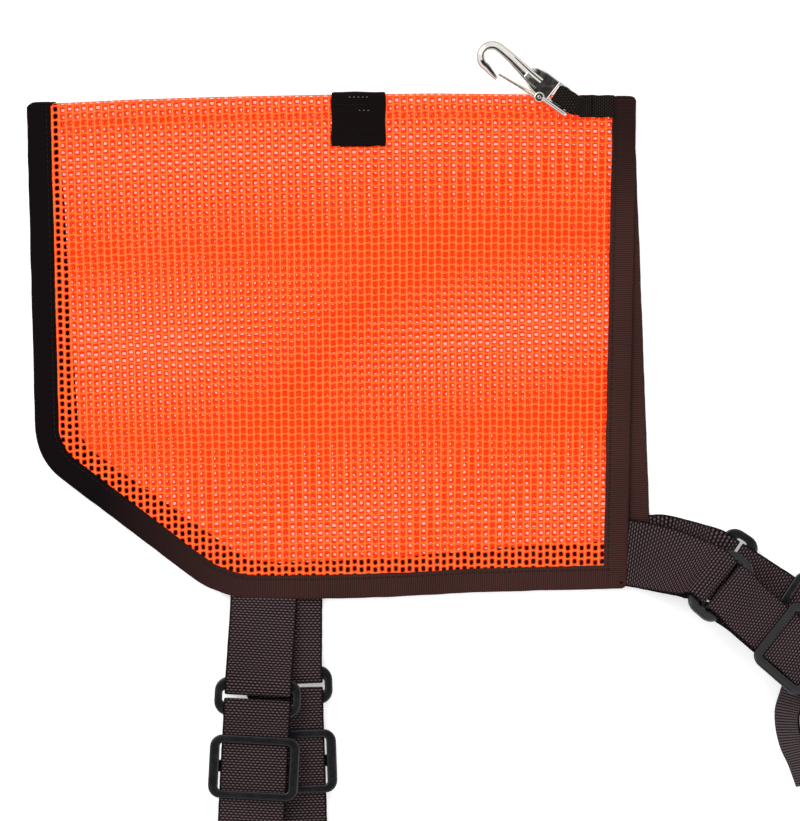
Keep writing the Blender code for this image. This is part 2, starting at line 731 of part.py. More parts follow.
def hook_body(frame, hook_pivot):
    """Cast body: eye, shank and bend, with the gate's slot and the rivet's hole."""
    half = HOOK_THICKNESS / 2
    made = solid("hook_body", *prism(eye_outline(), -half, half), CHROME, hook_pivot, frame)
    bend = arc(BEND_CENTRE, BEND_RADIUS, -math.pi / 2, math.pi / 2 + 0.15, 11)
    shank = [(EYE_LENGTH + 8.0, HOOK_MIDDLE - 0.2), SHANK_MIDDLE]
    thick = half - 0.4
    hook = stroke(shank + bend + list(NOSE), BEND_WIDTHS)
    combine(made, solid("hook_bend", *prism(hook, -thick, thick), CHROME, hook_pivot, frame), "UNION")
    low = (EYE_BAR, HOOK_MIDDLE - EYE_HALF_WIDTH + EYE_ARM, -FAR)
    high = (EYE_LENGTH, HOOK_MIDDLE + EYE_HALF_WIDTH - EYE_ARM, FAR)
    combine(made, slot_cutter("hook_eye_hole", low, high, hook_pivot, frame), "DIFFERENCE")
    slot = GATE_THICKNESS / 2 + CLEARANCE
    low = (EYE_LENGTH + GATE_SLOT_START, GATE_SLOT_Y, -slot)
    high = (EYE_LENGTH + 2 * FAR, 2 * FAR, slot)
    combine(made, slot_cutter("hook_gate_slot", low, high, hook_pivot, frame), "DIFFERENCE")
    hole = rivet_circle(RIVET_RADIUS + CLEARANCE)
    cut = solid("hook_rivet_hole", *prism(hole, -FAR, FAR), CHROME, hook_pivot, frame)
    return rounded(combine(made, cut, "DIFFERENCE"))


def hook_gate(frame, hook_pivot):
    """Spring gate on its rivet."""
    x, y = GATE_PIVOT
    gate_pivot = pivot("hook_gate_rivet_line", frame @ Vector((x, y, 0.0)), hook_pivot)
    line = [(x - 1.6, y), (x + 1.6, y + 0.2), (x + 8.0, y + 1.0), GATE_TIP]
    thick = GATE_THICKNESS / 2
    shape = stroke(line, GATE_WIDTHS)
    gate = solid("hook_gate", *prism(shape, -thick, thick), SPRING_STEEL, gate_pivot, frame)
    hole = rivet_circle(RIVET_RADIUS + CLEARANCE)
    cut = solid("hook_gate_hole", *prism(hole, -FAR, FAR), CHROME, gate_pivot, frame)
    return rounded(combine(gate, cut, "DIFFERENCE"))


def snap_hook(front_pivot):
    """Strap-eye snap hook: cast body, spring gate and its rivet, hung in a webbing loop."""
    frame = hook_frame()
    hook_pivot = pivot("hook_eye_bar", HOOK_PLACE, front_pivot)
    hook_body(frame, hook_pivot)
    hook_gate(frame, hook_pivot)
    half = HOOK_THICKNESS / 2
    pin = rivet_circle(RIVET_RADIUS)
    rounded(solid("hook_rivet", *prism(pin, -half, half), CHROME, hook_pivot, frame))


def collar_webbing(front_pivot):
    """The band along the collar end of the spine and the loop that holds the hook's eye."""
    low = FRONT_TOP_Z + CLEARANCE
    points, faces = box((COLLAR_X[0], COLLAR_Y[0], low), (COLLAR_X[1], COLLAR_Y[1], low + COLLAR_THICKNESS))
    solid("collar_strap", points, faces, WEBBING, front_pivot)
    along = heading(HOOK_HEADING)
    across = Vector((-along.y, along.x, 0.0))
    bar = HOOK_PLACE + across * HOOK_MIDDLE
    start = bar - along * HOOK_LOOP_LENGTH
    start.z = low + COLLAR_THICKNESS + CLEARANCE + PLY_OFFSET + WEB_THICKNESS / 2
    loop = Run([(*start, 0.0), (*bar, 0.0)])
    height = HOOK_LOOP_REACH
    out = [(0.0, PLY_OFFSET), (3.0, PLY_OFFSET + 0.3), (loop.length - 1.5, height)]
    back = [(distance, -rise) for distance, rise in out[::-1]]
    path = out + turn_round(loop.length, height, height, 1) + back
    webbing("hook_loop", path, loop, front_pivot, width=HOOK_WEB_WIDTH)


def spine_tab(front_pivot):
    """Short webbing patch sewn over the spine, with its end lying on the front panel."""
    low = FRONT_TOP_Z + CLEARANCE
    points, faces = box((TAB_X[0], TAB_Y[0], low), (TAB_X[1], TAB_Y[1], low + TAB_THICKNESS))
    return solid("spine_tab", points, faces, WEBBING, front_pivot)


def build():
    for old in list(bpy.data.objects):
        bpy.data.objects.remove(old)
    back_pivot = pivot("vest", (0.0, 0.0, 0.0))
    front_pivot = pivot("spine_fold_line", (0.0, SPINE_Y + CLEARANCE, FOLD_Z), back_pivot)
    panel("back", BACK_Z, BACK_PANEL_TURN, BACK_PANEL_SHIFT, back_pivot)
    panel("front", FRONT_Z, 0.0, Vector((0.0, 0.0)), front_pivot)
    spine_tab(front_pivot)
    collar_webbing(front_pivot)
    snap_hook(front_pivot)
    belly_straps(back_pivot, front_pivot)
    chest_straps(back_pivot, front_pivot)
    back_pivot.location = -FOOTPRINT_CENTRE * MM


build()
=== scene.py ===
"""Looks of a high-visibility mesh vest, folded along its spine and lying flat on a pale floor.

Lengths are millimetres in the panel frame (+X along the spine to the collar, +Y from the hem to the
spine, +Z up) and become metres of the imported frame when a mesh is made.
"""

import json
import math

import bmesh
import bpy
import numpy as np
from mathutils import Matrix, Vector


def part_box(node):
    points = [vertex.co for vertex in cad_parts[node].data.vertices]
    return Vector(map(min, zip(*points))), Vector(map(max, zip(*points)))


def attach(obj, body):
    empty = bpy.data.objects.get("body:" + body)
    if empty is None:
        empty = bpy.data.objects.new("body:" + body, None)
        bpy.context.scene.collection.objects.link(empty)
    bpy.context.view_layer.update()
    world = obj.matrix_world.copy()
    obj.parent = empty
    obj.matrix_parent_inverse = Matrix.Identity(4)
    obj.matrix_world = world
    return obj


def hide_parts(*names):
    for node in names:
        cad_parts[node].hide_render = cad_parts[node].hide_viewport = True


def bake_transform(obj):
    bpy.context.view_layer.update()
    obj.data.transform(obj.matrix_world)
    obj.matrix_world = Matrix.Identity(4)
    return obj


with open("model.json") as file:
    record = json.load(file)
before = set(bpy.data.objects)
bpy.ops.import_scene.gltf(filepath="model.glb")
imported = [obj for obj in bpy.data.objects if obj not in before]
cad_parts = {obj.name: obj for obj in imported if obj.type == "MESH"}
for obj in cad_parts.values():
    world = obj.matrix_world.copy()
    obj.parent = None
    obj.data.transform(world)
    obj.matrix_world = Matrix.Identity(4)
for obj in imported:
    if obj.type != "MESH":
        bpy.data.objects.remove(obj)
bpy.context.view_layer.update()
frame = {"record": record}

MM = 0.001
SHARP_ANGLE = 40.0
JOINTS = {joint["name"]: joint for joint in frame["record"]["behaviour"]["joints"]}
# The spine tab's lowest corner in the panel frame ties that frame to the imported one.
TAB_CORNER = Vector((-39.0, 149.6, 5.9))
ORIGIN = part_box("spine_tab")[0] - TAB_CORNER * MM
UP = Vector((0.0, 0.0, 1.0))

# Camera and light.
CAMERA_DISTANCE = 4.0
VIEW_WIDTH = 0.4536
SENSOR_WIDTH = 36.0
WORLD_STRENGTH = 1.3
FLOOR_GLOW = 0.38
FLOOR_REACH, FLOOR_TOP = 2600.0, -0.25
KEY_POWER = 22.0
FILL_POWER = 8.0

# Panel outline: side line, two hem corners and the collar line, each with its corner radius.
TAIL_SIDE = (-211.5, 173.0)
HEM_CORNERS = [((-206.3, -27.6), 38.0), ((-102.0, -106.6), 60.0), ((128.6, -100.8), 4.0)]
COLLAR_SIDE = (133.9, 176.0)
BACK_COLLAR_TUCK = 5.5
HEM_SAG = 1.6
BACK_TURN = math.radians(2.1)
BACK_SHIFT = Vector((4.0, 2.0))
FOLD_RADIUS = 1.5
BACK_Z = 1.3
FRONT_Z = BACK_Z + 2 * FOLD_RADIUS

# The fold's highest line, as places along the spine and their heights in the panel frame.
CREST_X = (-212.0, -190.0, -150.0, -100.0, -40.0, 20.0, 80.0, 110.0, 134.0)
CREST_Y = (173.4, 174.0, 176.0, 177.5, 178.7, 179.4, 178.7, 177.9, 176.9)

# Mesh cloth.
COLUMNS, ROWS, FOLD_ROWS = 85, 69, 2
STRAND_HEIGHT = 0.5
HOLE_WIDTH, HOLE_HEIGHT, HOLE_CORNER = 0.57, 0.69, 0.78
FOLD_HOLE, BACK_HOLE = 0.55, 0.58
COLUMN_STAGGER = 0.17
LEFT_X, LEFT_LEAN = -209.5, 0.026
RIGHT_X, RIGHT_LEAN = 133.0, 0.019
WAVE_HEIGHT = 0.55
# Strength of the orange vinyl's painted glow.
VINYL_GLOW = 0.3
HIDDEN_BY_TAPE = 5.0
PAST_SPINE = 400.0
# A hole's rim, in halves of its width and height.
HOLE = [(-1, 0), (-1, 1), (0, 1), (1, 1), (1, 0), (1, -1), (0, -1), (-1, -1)]

# Tape.
TAPE_WIDTH = 13.5
TAPE_STEP = 2.2
FOLD_TUCK = 0.5
STITCH_INSET = 2.4
FADING_SPAN = (-0.235, -0.13)
SHADED_SPAN = (0.185, 0.235)
STITCH_PITCH, STITCH_LENGTH = 3.3, 2.5
# Places along a stitch in its lengths, with the thread's half width and rise there.
STITCH_SHAPE = ((-0.5, 0.10, -0.12), (-0.3, 0.22, 0.16), (0.3, 0.22, 0.16), (0.5, 0.10, -0.12))
# The tape's upper face and the hollow between its plies, as distances from the edge and heights.
TAPE_TOP = [(13.5, 0.95), (12.4, 1.12), (11.1, 1.02), (9.6, 1.22)]
TAPE_TOP += [(6.0, 1.32), (2.6, 1.28), (0.9, 1.02), (0.2, 0.5)]
TAPE_CAVITY = [(13.5, -0.55), (1.3, -0.5), (1.3, 0.5), (13.5, 0.55)]

# Webbing and moulded hardware.
WEB_WIDTH, WEB_THICKNESS = 37.8, 1.3
# Webbing's section, as shares of its width and of half its thickness.
WEB_FACE = [(-0.5, -0.3), (-0.492, 0.72), (-0.47, 1.0), (-0.25, 1.06)]
WEB_FACE += [(0.0, 1.08), (0.25, 1.06), (0.47, 1.0), (0.492, 0.72)]
WEB_RIM = WEB_FACE + [(-a, -b) for a, b in WEB_FACE]
HEM_LEAD, RING_LEAD = 5.0, 3.0
EASE = 4.5
PLY = 0.75
RING_LENGTH, RING_WIDTH, RING_THICKNESS = 22.0, 49.0, 3.3
RING_SLOT_LENGTH, RING_SLOT_WIDTH = 6.5, 40.0
RING_BAR = (RING_LENGTH - RING_SLOT_LENGTH) / 2
LOOP_HEIGHT = 2.9
BAR_REACH = RING_BAR / 2 + 1.5
RAMP = 7.0
GLIDE_LENGTH, GLIDE_WIDTH = 36.0, 51.0
GLIDE_BAR, GLIDE_SIDE, GLIDE_CORNER = 4.6, 5.6, 7.0
GLIDE_LOW, GLIDE_PLATE = 1.65, 1.9
GLIDE_CENTRE_BAR = 6.8
GLIDE_HUMP = 1.3
TAIL_PAST_GLIDE = 12.0
BUCKLE_WIDTH, BUCKLE_THICKNESS = 48.0, 9.4
BUCKLE_BAR, BUCKLE_BAR_HALF, BUCKLE_SLOT = 4.4, 1.6, 5.5

# Snap hook: the gate's pin, and a bar's section with rolled rims, in halves of its width and thickness.
GATE_PIN = (15.5, 10.2)
CHANNEL_FACE = [(-1.0, 0.0), (-1.0, 0.5), (-0.86, 0.84), (-0.58, 1.0), (-0.30, 0.92), (-0.10, 0.74)]
CHANNEL_FACE += [(0.62, 0.70), (0.76, 0.90), (0.92, 0.86), (1.0, 0.5)]
CHANNEL = CHANNEL_FACE + [(a, -b) for a, b in CHANNEL_FACE[:0:-1]]


# Basics ----------------------------------------------------------------------------------------


def place(name):
    """A joint's place in the panel frame."""
    return (Vector(JOINTS[name]["pos_m"]) - ORIGIN) / MM


def axis(name):
    return Vector(JOINTS[name]["axis"]).normalized()


def heading(degrees):
    angle = math.radians(degrees)
    return Vector((math.cos(angle), math.sin(angle), 0.0))


def in_metres(points):
    """Panel-frame points as an array of packed-frame metres."""
    return np.asarray(points, float).reshape(-1, 3) * MM + np.array(ORIGIN)


def piece(name, points, faces, finish, uv=None, angle=None):
    """A mesh object from panel-frame points; uv holds one pair of millimetres for each point."""
    mesh = bpy.data.meshes.new(name)
    mesh.from_pydata(in_metres(points).tolist(), [], [list(face) for face in faces])
    mesh.materials.append(finish)
    if uv is not None:
        corners = np.empty(len(mesh.loops), np.int32)
        mesh.loops.foreach_get("vertex_index", corners)
        layer = mesh.uv_layers.new(name="cloth")
        layer.data.foreach_set("uv", (np.asarray(uv, float) * MM)[corners].ravel())
    mesh.shade_smooth()
    if angle is not None:
        mesh.set_sharp_from_angle(angle=math.radians(angle))
    made = bpy.data.objects.new(name, mesh)
    bpy.context.collection.objects.link(made)
    return made


def settled(made):
    """The object with its modifiers made part of its mesh."""
    bpy.context.view_layer.update()
    shape = made.evaluated_get(bpy.context.evaluated_depsgraph_get())
    mesh = bpy.data.meshes.new_from_object(shape)
    made.modifiers.clear()
    made.data = mesh
    mesh.shade_smooth()
    mesh.set_sharp_from_angle(angle=math.radians(SHARP_ANGLE))
    return made


def bevelled(made, width, segments=3, angle=35.0):
    bevel = made.modifiers.new("edges", "BEVEL")
    bevel.width = width * MM
    bevel.segments = segments
    bevel.limit_method = "ANGLE"
    bevel.angle_limit = math.radians(angle)
    return made


def cut(made, helpers):
    """Cuts the helpers out of the object."""
    for helper in helpers:
        step = made.modifiers.new(helper.name, "BOOLEAN")
        step.operation = "DIFFERENCE"
        step.object = helper
        step.solver = "EXACT"
    return made


def removed(helpers):
    for helper in helpers:
        bpy.data.objects.remove(helper)


def joined(name, parts):
    """Several objects made one."""
    points, faces = [], []
    for part in parts:
        start = len(points)
        points += [part.matrix_world @ vertex.co for vertex in part.data.vertices]
        faces += [[start + i for i in polygon.vertices] for polygon in part.data.polygons]
    panel = [(point - ORIGIN) / MM for point in points]
    finish = parts[0].data.materials[0]
    removed(parts)
    return piece(name, panel, faces, finish, angle=SHARP_ANGLE)


def arc(centre, radius, start, end, count):
    turn = (end - start) / (count - 1)
    return [
        (centre[0] + radius * math.cos(start + i * turn), centre[1] + radius * math.sin(start + i * turn))
        for i in range(count)
    ]


def direction(line, i):
    """The unit direction of a line of points at one of them."""
    return (line[min(i + 1, len(line) - 1)] - line[max(i - 1, 0)]).normalized()


def travelled(line):
    """The distance along a line of points to each of them."""
    reach = [0.0]
    for one, two in zip(line, line[1:]):
        reach.append(reach[-1] + (two - one).length)
    return reach


def fillet(before, corner, after, radius, count):
    """The corner rounded by an arc tangent to both of its sides."""
    corner = Vector(corner)
    one = (Vector(before) - corner).normalized()
    two = (Vector(after) - corner).normalized()
    half = one.angle(two) / 2
    reach = radius / math.tan(half)
    centre = corner + (one + two).normalized() * radius / math.sin(half)
    first = corner + one * reach - centre
    last = corner + two * reach - centre
    start = math.atan2(first.y, first.x)
    sweep = math.remainder(math.atan2(last.y, last.x) - start, math.tau)
    return arc(centre, radius, start, start + sweep, count)


def rounded_rectangle(length, width, radius, count=7):
    points = []
    for quarter in range(4):
        start = quarter * math.pi / 2
        x = length / 2 - radius if quarter in (0, 3) else radius - length / 2
        y = width / 2 - radius if quarter < 2 else radius - width / 2
        points += arc((x, y), radius, start, start + math.pi / 2, count)
    return points


def prism(outline, low, high):
    count = len(outline)
    points = [(x, y, low) for x, y in outline] + [(x, y, high) for x, y in outline]
    faces = [list(range(count))[::-1], list(range(count, 2 * count))]
    faces += [(i, (i + 1) % count, count + (i + 1) % count, count + i) for i in range(count)]
    return points, faces


def plate_with_slot(outer, inner, low, high):
    count = len(outer)
    points = []
    for outline, z in ((outer, low), (outer, high), (inner, high), (inner, low)):
        points += [(x, y, z) for x, y in outline]
    faces = []
    for ring in range(4):
        this, after = ring * count, (ring + 1) % 4 * count
        for i in range(count):
            j = (i + 1) % count
            faces.append((this + i, this + j, after + j, after + i))
    return points, faces


def swept(sections):
    """Points and faces of one body through sections with equal numbers of points."""
    count = len(sections[0])
    points = [point for section in sections for point in section]
    last = (len(sections) - 1) * count
    faces = [list(range(count)), [last + i for i in range(count)][::-1]]
    for start in range(0, last, count):
        for i in range(count):
            j = (i + 1) % count
            faces.append((start + i, start + count + i, start + count + j, start + j))
    return points, faces


def box(low, high):
    outline = [(low[0], low[1]), (high[0], low[1]), (high[0], high[1]), (low[0], high[1])]
    return prism(outline, low[2], high[2])


def placed(points, where):
    """Points of a local frame in the panel frame."""
    return [where @ Vector(point) for point in points]


def solid(name, where, shape, finish, **settings):
    """A closed body from the points and faces of a local frame."""
    points, faces = shape
    return outward(piece(name, placed(points, where), faces, finish, **settings))


def outward(made):
    """The object with its faces turned outwards."""
    shape = bmesh.new()
    shape.from_mesh(made.data)
    bmesh.ops.recalc_face_normals(shape, faces=shape.faces)
    shape.to_mesh(made.data)
    shape.free()
    return made


def noise(seed, count, passes):
    """A smooth random row with values of about -1 to 1, the same each run."""
    row = np.random.RandomState(seed).uniform(-1.0, 1.0, count + 2 * passes)
    for _ in range(passes):
        row = (row[:-2] + 2 * row[1:-1] + row[2:]) / 4
    return row / max(np.abs(row).max(), 1e-9)


# Materials -------------------------------------------------------------------------------------


class Finish:
    """A node material with short calls for its wiring."""

    def __init__(self, name, colour, roughness, **sockets):
        self.material = bpy.data.materials.new(name)
        self.material.use_nodes = True
        self.tree = self.material.node_tree
        self.shader = self.tree.nodes["Principled BSDF"]
        self.shader.inputs["Base Color"].default_value = (*colour, 1.0)
        self.shader.inputs["Roughness"].default_value = roughness
        for socket, value in sockets.items():
            self.shader.inputs[socket.replace("_", " ")].default_value = value

    def node(self, kind, inputs=(), **settings):
        made = self.tree.nodes.new(kind)
        for key, value in settings.items():
            setattr(made, key, value)
        for key, value in dict(inputs).items():
            self.feed(made.inputs[key], value)
        return made

    def feed(self, socket, value):
        if isinstance(value, bpy.types.NodeSocket):
            self.tree.links.new(value, socket)
        else:
            socket.default_value = value

    def math(self, operation, *values):
        made = self.node("ShaderNodeMath", operation=operation)
        for i, value in enumerate(values):
            self.feed(made.inputs[i], value)
        return made.outputs[0]

    def noise(self, coordinates, scale, detail=2.0, roughness=0.5):
        inputs = {"Vector": coordinates, "Scale": scale, "Detail": detail, "Roughness": roughness}
        return self.node("ShaderNodeTexNoise", inputs).outputs["Fac"]

    def blend(self, factor, one, two):
        made = self.node("ShaderNodeMix", data_type="RGBA")
        self.feed(made.inputs["Factor"], factor)
        self.feed(made.inputs["A"], (*one, 1.0) if isinstance(one, tuple) else one)
        self.feed(made.inputs["B"], (*two, 1.0) if isinstance(two, tuple) else two)
        return made.outputs["Result"]

    def ranged(self, value, low, high, new_low=0.0, new_high=1.0):
        inputs = {0: value, 1: low, 2: high, 3: new_low, 4: new_high}
        return self.node("ShaderNodeMapRange", inputs, clamp=True).outputs[0]

    def place(self):
        return self.node("ShaderNodeTexCoord").outputs["Object"]

    def cloth(self):
        """The cloth's own length and width coordinates, in metres."""
        uv = self.node("ShaderNodeTexCoord").outputs["UV"]
        split = self.node("ShaderNodeSeparateXYZ", {0: uv})
        return uv, split.outputs[0], split.outputs[1]

    def bump(self, height, distance, strength=1.0):
        inputs = {"Height": height, "Distance": distance, "Strength": strength}
        made = self.node("ShaderNodeBump", inputs)
        self.feed(self.shader.inputs["Normal"], made.outputs[0])

    def colour(self, value):
        self.feed(self.shader.inputs["Base Color"], value)

    def rough(self, value):
        self.feed(self.shader.inputs["Roughness"], value)


def mesh_finish():
    """Soft vinyl over yarn: a painted highlight along each strand's top, and painted shade, deep red-orange,
    at the edges of the holes.

    The pigment is fluorescent; its light is painted as a small fixed orange glow, which brightens the shaded
    hole edges and tints the floor seen through the holes.
    """
    made = Finish("orange_vinyl", (1.0, 0.13, 0.02), 0.42, Specular_IOR_Level=0.35)
    # Painted glow: a fixed orange emission, though the vinyl is no lamp.
    made.shader.inputs["Emission Color"].default_value = (1.0, 0.055, 0.006, 1.0)
    made.shader.inputs["Emission Strength"].default_value = VINYL_GLOW
    place_ = made.place()
    crest_ = made.node("ShaderNodeAttribute", attribute_name="crest").outputs["Fac"]
    grain = made.noise(place_, 900.0, 3.0)
    patch = made.noise(place_, 22.0, 2.0)
    # Painted highlight and shade: the crest attribute, 1 on a strand's top and 0 at a hole's edge, blends the
    # deep red edge colour, the body colour and the light top colour.
    edge = (0.80, 0.018, 0.0)
    body = made.blend(patch, (0.90, 0.060, 0.001), (0.95, 0.088, 0.003))
    top = made.blend(grain, (0.92, 0.120, 0.006), (0.96, 0.165, 0.014))
    flank = made.blend(made.ranged(crest_, 0.0, 0.35), edge, body)
    made.colour(made.blend(made.ranged(crest_, 0.35, 1.0), flank, top))
    made.rough(made.ranged(grain, 0.3, 0.7, 0.34, 0.52))
    made.bump(grain, 0.00008, 0.6)
    return made.material


def tape_finish():
    """Ribbed binding tape: fine ribs across its length, black at the tail and browner at the collar, with
    painted shade towards the spine and in the grooves between the ribs.
    """
    made = Finish("binding_tape", (0.02, 0.012, 0.012), 0.82, Specular_IOR_Level=0.03)
    uv, along, across = made.cloth()
    rib = made.math("SINE", made.math("MULTIPLY", along, math.tau / 0.00105))
    rib = made.math("MULTIPLY_ADD", rib, 0.5, 0.5)
    yarn = made.noise(uv, 2600.0, 2.0)
    patches = made.ranged(made.noise(made.place(), 14.0, 3.0), 0.3, 0.7, 0.8, 1.1)
    spot = made.node("ShaderNodeSeparateXYZ", {0: made.place()}).outputs
    # Painted shade: the tape is darkened towards the spine, and this shade is multiplied into the collar's
    # browner mask and the random wear patches.
    shade = made.ranged(spot[1], *SHADED_SPAN, 1.0, 0.4)
    fading_and_shade = made.math("MULTIPLY", made.ranged(spot[0], *FADING_SPAN), shade)
    wear_and_shade = made.math("MULTIPLY", fading_and_shade, patches)
    height = made.math("MULTIPLY_ADD", yarn, 0.35, rib)
    # Painted shade and highlight: the grooves between ribs are painted dark and the rib tops light.
    dark = made.blend(wear_and_shade, (0.0010, 0.0006, 0.0008), (0.0125, 0.0050, 0.0040))
    light = made.blend(wear_and_shade, (0.0078, 0.0046, 0.0056), (0.068, 0.0280, 0.0240))
    made.colour(made.blend(made.math("MULTIPLY", height, 0.75), dark, light))
    made.rough(made.ranged(yarn, 0.3, 0.7, 0.74, 0.9))
    made.bump(height, 0.00012, 0.8)
    return made.material


def webbing_finish(name, dark, light, row=0.0015, thread=0.0024, depth=0.00022):
    """Basket-woven nylon webbing: raised rows across it, broken into offset floats, with painted shade in the
    gaps between rows and a painted highlight on the floats.
    """
    made = Finish(name, light, 0.7, Specular_IOR_Level=0.04)
    uv, along, across = made.cloth()
    rows = made.math("DIVIDE", along, row)
    line = made.math("FLOOR", rows)
    within = made.math("FRACT", rows)
    mound = made.math("SINE", made.math("MULTIPLY", within, math.pi))
    offset = made.math("MULTIPLY", made.math("MODULO", made.math("ABSOLUTE", line), 2.0), 0.5)
    cell = made.math("ADD", made.math("DIVIDE", across, thread), offset)
    float_ = made.math("MULTIPLY_ADD", made.math("SINE", made.math("MULTIPLY", cell, math.tau)), 0.5, 0.5)
    yarn = made.noise(uv, 1800.0, 2.0)
    body = made.math("MULTIPLY", mound, made.math("MULTIPLY_ADD", float_, 0.5, 0.5))
    edge = made.ranged(made.math("ABSOLUTE", across), 0.0176, 0.0186)
    height = made.math("MULTIPLY_ADD", yarn, 0.18, body)
    flat = made.math("MULTIPLY_ADD", edge, -0.55, 1.0)
    height = made.math("MULTIPLY", height, flat)
    wear = made.noise(made.place(), 16.0, 3.0)
    # Painted shade and highlight: the colour goes dark in the gaps between rows and light on the raised
    # floats, varied by random wear.
    tone = made.math("MULTIPLY", made.math("POWER", height, 3.0), made.ranged(wear, 0.3, 0.7, 0.8, 1.1))
    made.colour(made.blend(tone, dark, light))
    made.rough(made.ranged(height, 0.0, 1.0, 0.85, 0.55))
    made.bump(height, depth, 1.0)
    return made.material


def grained_finish(name, colour, roughness, tones, marks, dulling, grain, relief, **sockets):
    """A material whose marks vary its tone and roughness, with grain as its fine relief."""
    made = Finish(name, colour, roughness, **sockets)
    spot = made.place()
    marks, grain = made.noise(spot, *marks), made.noise(spot, *grain)
    made.colour(made.blend(marks, *tones))
    made.rough(made.ranged(marks, *dulling))
    made.bump(grain, *relief)
    return made.material


def thread_finish(name, dark, light):
    twist, dulling, relief = (4000.0, 2.0), (0.3, 0.7, 0.5, 0.7), (0.00006, 0.7)
    tones, level = (dark, light), 0.2
    return grained_finish(name, light, 0.6, tones, twist, dulling, twist, relief, Specular_IOR_Level=level)


def floor_finish():
    """Pale translucent board, lit a little from below."""
    made = Finish("floor", (0.86, 0.86, 0.86), 0.9)
    made.shader.inputs["Emission Color"].default_value = (1.0, 1.0, 1.0, 1.0)
    made.shader.inputs["Emission Strength"].default_value = FLOOR_GLOW
    return made.material


VINYL = mesh_finish()
TAPE = tape_finish()
WEBBING = webbing_finish("black_webbing", (0.0003, 0.0002, 0.0002), (0.118, 0.078, 0.083))
FINE_WEBBING = webbing_finish(
    "tab_webbing", (0.0012, 0.0006, 0.0007), (0.0125, 0.0060, 0.0065), 0.0010, 0.0017, 0.00015
)
COLLAR_WEBBING = webbing_finish(
    "collar_webbing", (0.0018, 0.0012, 0.0010), (0.034, 0.025, 0.021), 0.0012, 0.0018
)
# Moulded acetal: fine spark-eroded grain and faint handling marks.
PLASTIC = grained_finish(
    "black_plastic",
    (0.010, 0.010, 0.012),
    0.3,
    ((0.0050, 0.0049, 0.0060), (0.0100, 0.0098, 0.0120)),
    (120.0, 4.0, 0.7),
    (0.35, 0.7, 0.20, 0.34),
    (3500.0, 2.0),
    (0.00003, 0.5),
    Specular_IOR_Level=0.33,
)
CHROME = grained_finish(
    "nickel_plate",
    (0.80, 0.77, 0.72),
    0.12,
    ((0.70, 0.67, 0.63), (0.54, 0.51, 0.47)),
    (300.0, 4.0, 0.65),
    (0.35, 0.75, 0.07, 0.26),
    (700.0, 2.0),
    (0.000012, 0.5),
    Metallic=1.0,
)
SPRING = grained_finish(
    "spring_steel",
    (0.72, 0.66, 0.57),
    0.26,
    ((0.78, 0.71, 0.61), (0.60, 0.54, 0.46)),
    (500.0, 4.0, 0.65),
    (0.3, 0.7, 0.16, 0.34),
    (500.0, 4.0, 0.65),
    (0.00002, 0.4),
    Metallic=1.0,
)
THREAD = thread_finish("black_thread", (0.002, 0.0015, 0.0015), (0.012, 0.009, 0.009))
# Painted highlight: black thread painted pale where the tab's stitches catch the light.
GLINT_THREAD = thread_finish("glinting_thread", (0.10, 0.09, 0.09), (0.24, 0.22, 0.22))


# Panel surfaces --------------------------------------------------------------------------------


def crest(x):
    """Where the fold is highest in the panel frame."""
    return np.interp(x, CREST_X, CREST_Y)


def wave(x, y):
    """Slow unevenness of cloth that has been folded and well used."""
    rise = np.sin(x / 31.0 + 0.6) * np.cos(y / 37.0) + 0.6 * np.sin((x + 1.7 * y) / 47.0)
    return rise * 0.5 + 0.35 * np.sin(x / 17.0 - y / 23.0)


def front_height(x, y):
    """Height of the front layer's middle."""
    below = np.maximum(crest(x) - FOLD_RADIUS - y, 0.0)
    settle = np.clip(below / 25.0, 0.0, 1.0) * np.clip((y + 104.0) / 25.0, 0.0, 1.0)
    settle = settle * np.clip((x + 203.0) / 20.0, 0.0, 1.0) * np.clip((127.0 - x) / 20.0, 0.0, 1.0)
    return FRONT_Z + WAVE_HEIGHT * (wave(x, y) + 0.6) * settle


def turned(point):
    """A panel point after the back layer's slip about the tail end of the spine."""
    centre = Vector(TAIL_SIDE)
    return (Matrix.Rotation(BACK_TURN, 2) @ (Vector(point[:2]) - centre)) + centre + BACK_SHIFT


def outline(back):
    """Dense points round a layer's edge, from the spine at the tail to the spine at the collar."""
    collar = (COLLAR_SIDE[0] - (BACK_COLLAR_TUCK if back else 0.0), COLLAR_SIDE[1])
    corners = [TAIL_SIDE, *[corner for corner, _ in HEM_CORNERS], collar]
    line = [Vector(TAIL_SIDE)]
    for i, (corner, radius) in enumerate(HEM_CORNERS):
        line += [Vector(p) for p in fillet(corners[i], corner, corners[i + 2], radius, 13)]
    line.append(Vector(collar))
    points = []
    for one, two in zip(line, line[1:]):
        count = max(1, round((two - one).length / TAPE_STEP))
        points += [one.lerp(two, i / count) for i in range(count)]
    points.append(line[-1])
    left, right = HEM_CORNERS[1][0][0], HEM_CORNERS[2][0][0]
    for point in points:
        if point.y < -90.0 and left < point.x < right:
            share = (point.x - left) / (right - left)
            point.y -= HEM_SAG * math.sin(math.pi * min(share * 1.6, 1.0))
    return [turned(point) for point in points] if back else points


def inside(x, y, loop):
    """Which of the points are inside the closed loop."""
    found = np.zeros(np.shape(x), bool)
    for one, two in zip(loop, loop[1:] + loop[:1]):
        crosses = (one.y > y) != (two.y > y)
        rise = two.y - one.y if abs(two.y - one.y) > 1e-9 else 1e-9
        found ^= crosses & (x < (two.x - one.x) * (y - one.y) / rise + one.x)
    return found


def shrunk(loop, distance):
    """The open outline moved inwards."""
    moved = []
    for i, here in enumerate(loop):
        along = direction(loop, i)
        moved.append(here + Vector((-along.y, along.x)) * distance)
    return moved


